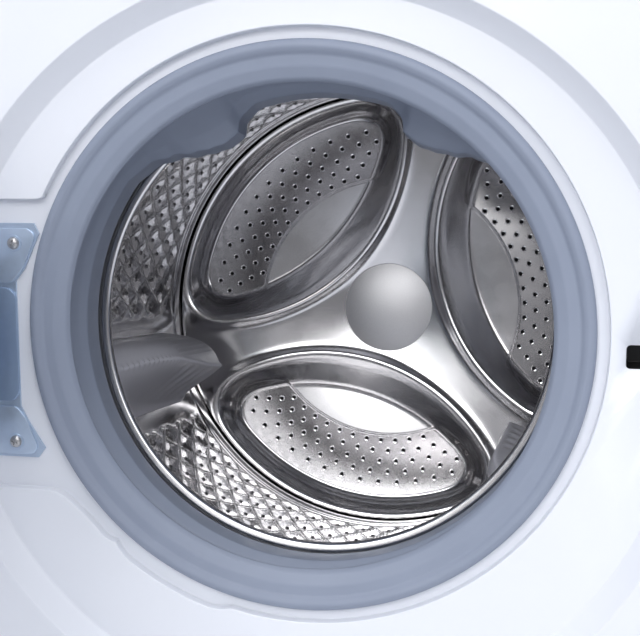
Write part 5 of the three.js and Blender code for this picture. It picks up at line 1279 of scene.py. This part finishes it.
stub_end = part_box("inlet_valve")[1].y
stub_height = 0.884
stub_places = (-0.250, -0.190)
thread_pitch = 0.0022
valve = soften(merged_solid("inlet_valve"), 0.0008, 2)
for x in stub_places:
    for turn in range(5):
        start = stub_end - 0.0030 - thread_pitch * turn
        groove = spun([(0.0121, start), (0.0140, start - 0.0009), (0.0140, start + 0.0009)], 48)
        valve = cut(valve, placed(groove, Matrix.Translation((x, 0.0, stub_height))))
    bore = front_disc(0.0085, stub_end - 0.0135, stub_end + 0.002, (x, stub_height))
    valve = cut(valve, bore)
finished_piece("inlet_valve_block", valve, pale_plastic, "cabinet", "pale_grey_plastic", "inlet_valve")
lock_plastic = Finish("lock_plastic", (0.014, 0.014, 0.016), 0.4)
lock_plastic.set("Roughness", 0.36 + 0.14 * lock_plastic.speckle(0.003))
lock_plastic.relief(lock_plastic.speckle(0.0009), 0.00005, 0.3)
softened_piece("door_lock_case", "door_lock", lock_plastic, "cabinet", "black_plastic", 0.0009)


# Rear screws. Cross-headed sheet metal screws with pressed washers hold the rear panel to the side
# panels and the service cover to the rear panel.

cover_low, cover_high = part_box("rear_service_cover")
cover_edge = 0.010
side_flange = 0.331
panel_screws = [(x, z) for x in (-side_flange, side_flange) for z in (0.06, 0.30, 0.56, 0.80, 0.93)]
cover_screws = [
    (x, cover_low.z + (cover_high.z - cover_low.z) * share)
    for x in (cover_low.x + cover_edge, cover_high.x - cover_edge)
    for share in (0.12, 0.5, 0.88)
]
screw_line = [(0.0, 0.0034), (0.0034, 0.0034), (0.0040, 0.0028), (0.0040, 0.0010), (0.0062, 0.0009)]
screw_line += [(0.0064, 0.0), (0.0, 0.0)]
heads = []
for node, places in (("rear_panel", panel_screws), ("rear_service_cover", cover_screws)):
    solid = merged_solid(node)
    surface = BVHTree.FromBMesh(solid)
    solid.free()
    for x, z in places:
        point = surface.ray_cast(Vector((x, 1.0, z)), Vector((0.0, -1.0, 0.0)))[0]
        head = spun(screw_line, 32, closed=False)
        for long, short in ((0.0030, 0.0005), (0.0005, 0.0030)):
            head = cut(head, front_slab(rectangle((-long, long), (-short, short)), 0.0022, 0.0040))
        heads.append(placed(head, Matrix.Translation((x, point.y, z))))
finished_piece("rear_screws", gathered(heads), screw_steel, "cabinet", "zinc_steel")


# Inside the cabinet. The tub, its counterweights, bearings and motor, the suspension, the hoses, the
# pump and the board keep the shapes of the assembly and take the finish of their own stuff.

def dressed(finish, *nodes):
    """Gives a finish to sub-parts that keep their own shapes."""
    for node in nodes:
        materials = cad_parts[node].data.materials
        materials.clear()
        materials.append(finish.material)


tub_plastic = Finish("tub_plastic", (0.42, 0.44, 0.46), 0.6)
fibres = tub_plastic.speckle(0.004, (1.0, 1.0, 0.3), 5.0)
tub_plastic.tint(fibres, (0.46, 0.48, 0.5), (0.37, 0.39, 0.41))
tub_plastic.set("Roughness", 0.5 + 0.2 * fibres)
tub_plastic.relief(fibres, 0.0002, 0.3)
dressed(tub_plastic, "tub_front", "tub_rear", "drain_pump", "dispenser_housing")
concrete = Finish("cast_concrete", (0.33, 0.32, 0.3), 0.93)
stones = concrete.speckle(0.008, detail=8.0)
concrete.tint(stones, (0.42, 0.41, 0.39), (0.24, 0.235, 0.22))
concrete.relief(stones, 0.0012, 0.6)
concrete.set("Roughness", 0.86 + 0.12 * stones)
dressed(concrete, "counterweight_upper", "counterweight_lower")
aluminium = Finish("cast_aluminium", (0.5, 0.51, 0.53), 0.5, 0.9)
grains = aluminium.speckle(0.0015, detail=4.0)
aluminium.set("Roughness", 0.42 + 0.2 * grains)
aluminium.relief(grains, 0.0002, 0.4)
dressed(aluminium, "drum_spider")
turned_steel = Finish("turned_steel", (0.55, 0.55, 0.57), 0.3, 1.0)
turned_steel.set("Roughness", 0.24 + 0.16 * turned_steel.speckle(0.002, (1.0, 14.0, 1.0)))
dressed(turned_steel, "drum_shaft", "bearing_front", "bearing_rear", "spring_left", "spring_right")
dressed(galvanised, "rotor")
dressed(filter_plastic, "damper_left", "damper_right")
dressed(black_rubber, "shaft_seal", "sump_hose", "fill_bellows")
copper = Finish("copper_winding", (0.55, 0.24, 0.1), 0.42, 0.7)
strands = copper.node(
    "ShaderNodeTexWave",
    {"wave_type": "BANDS", "bands_direction": "Y"},
    {"Vector": copper.place(), "Scale": 260.0},
)
copper.tint(strands, (0.66, 0.31, 0.14), (0.38, 0.15, 0.06))
copper.relief(strands, 0.0004, 0.6)
dressed(copper, "stator")
board_green = Finish("board_green", (0.03, 0.12, 0.055), 0.5)
tracks = board_green.node(
    "ShaderNodeTexVoronoi", {"feature": "DISTANCE_TO_EDGE"}, {"Vector": board_green.place(), "Scale": 240.0}
)
board_green.tint(tracks < 0.06, (0.12, 0.24, 0.1), (0.03, 0.12, 0.055))
board_green.set("Roughness", 0.42 + 0.2 * board_green.speckle(0.01))
dressed(board_green, "control_board")
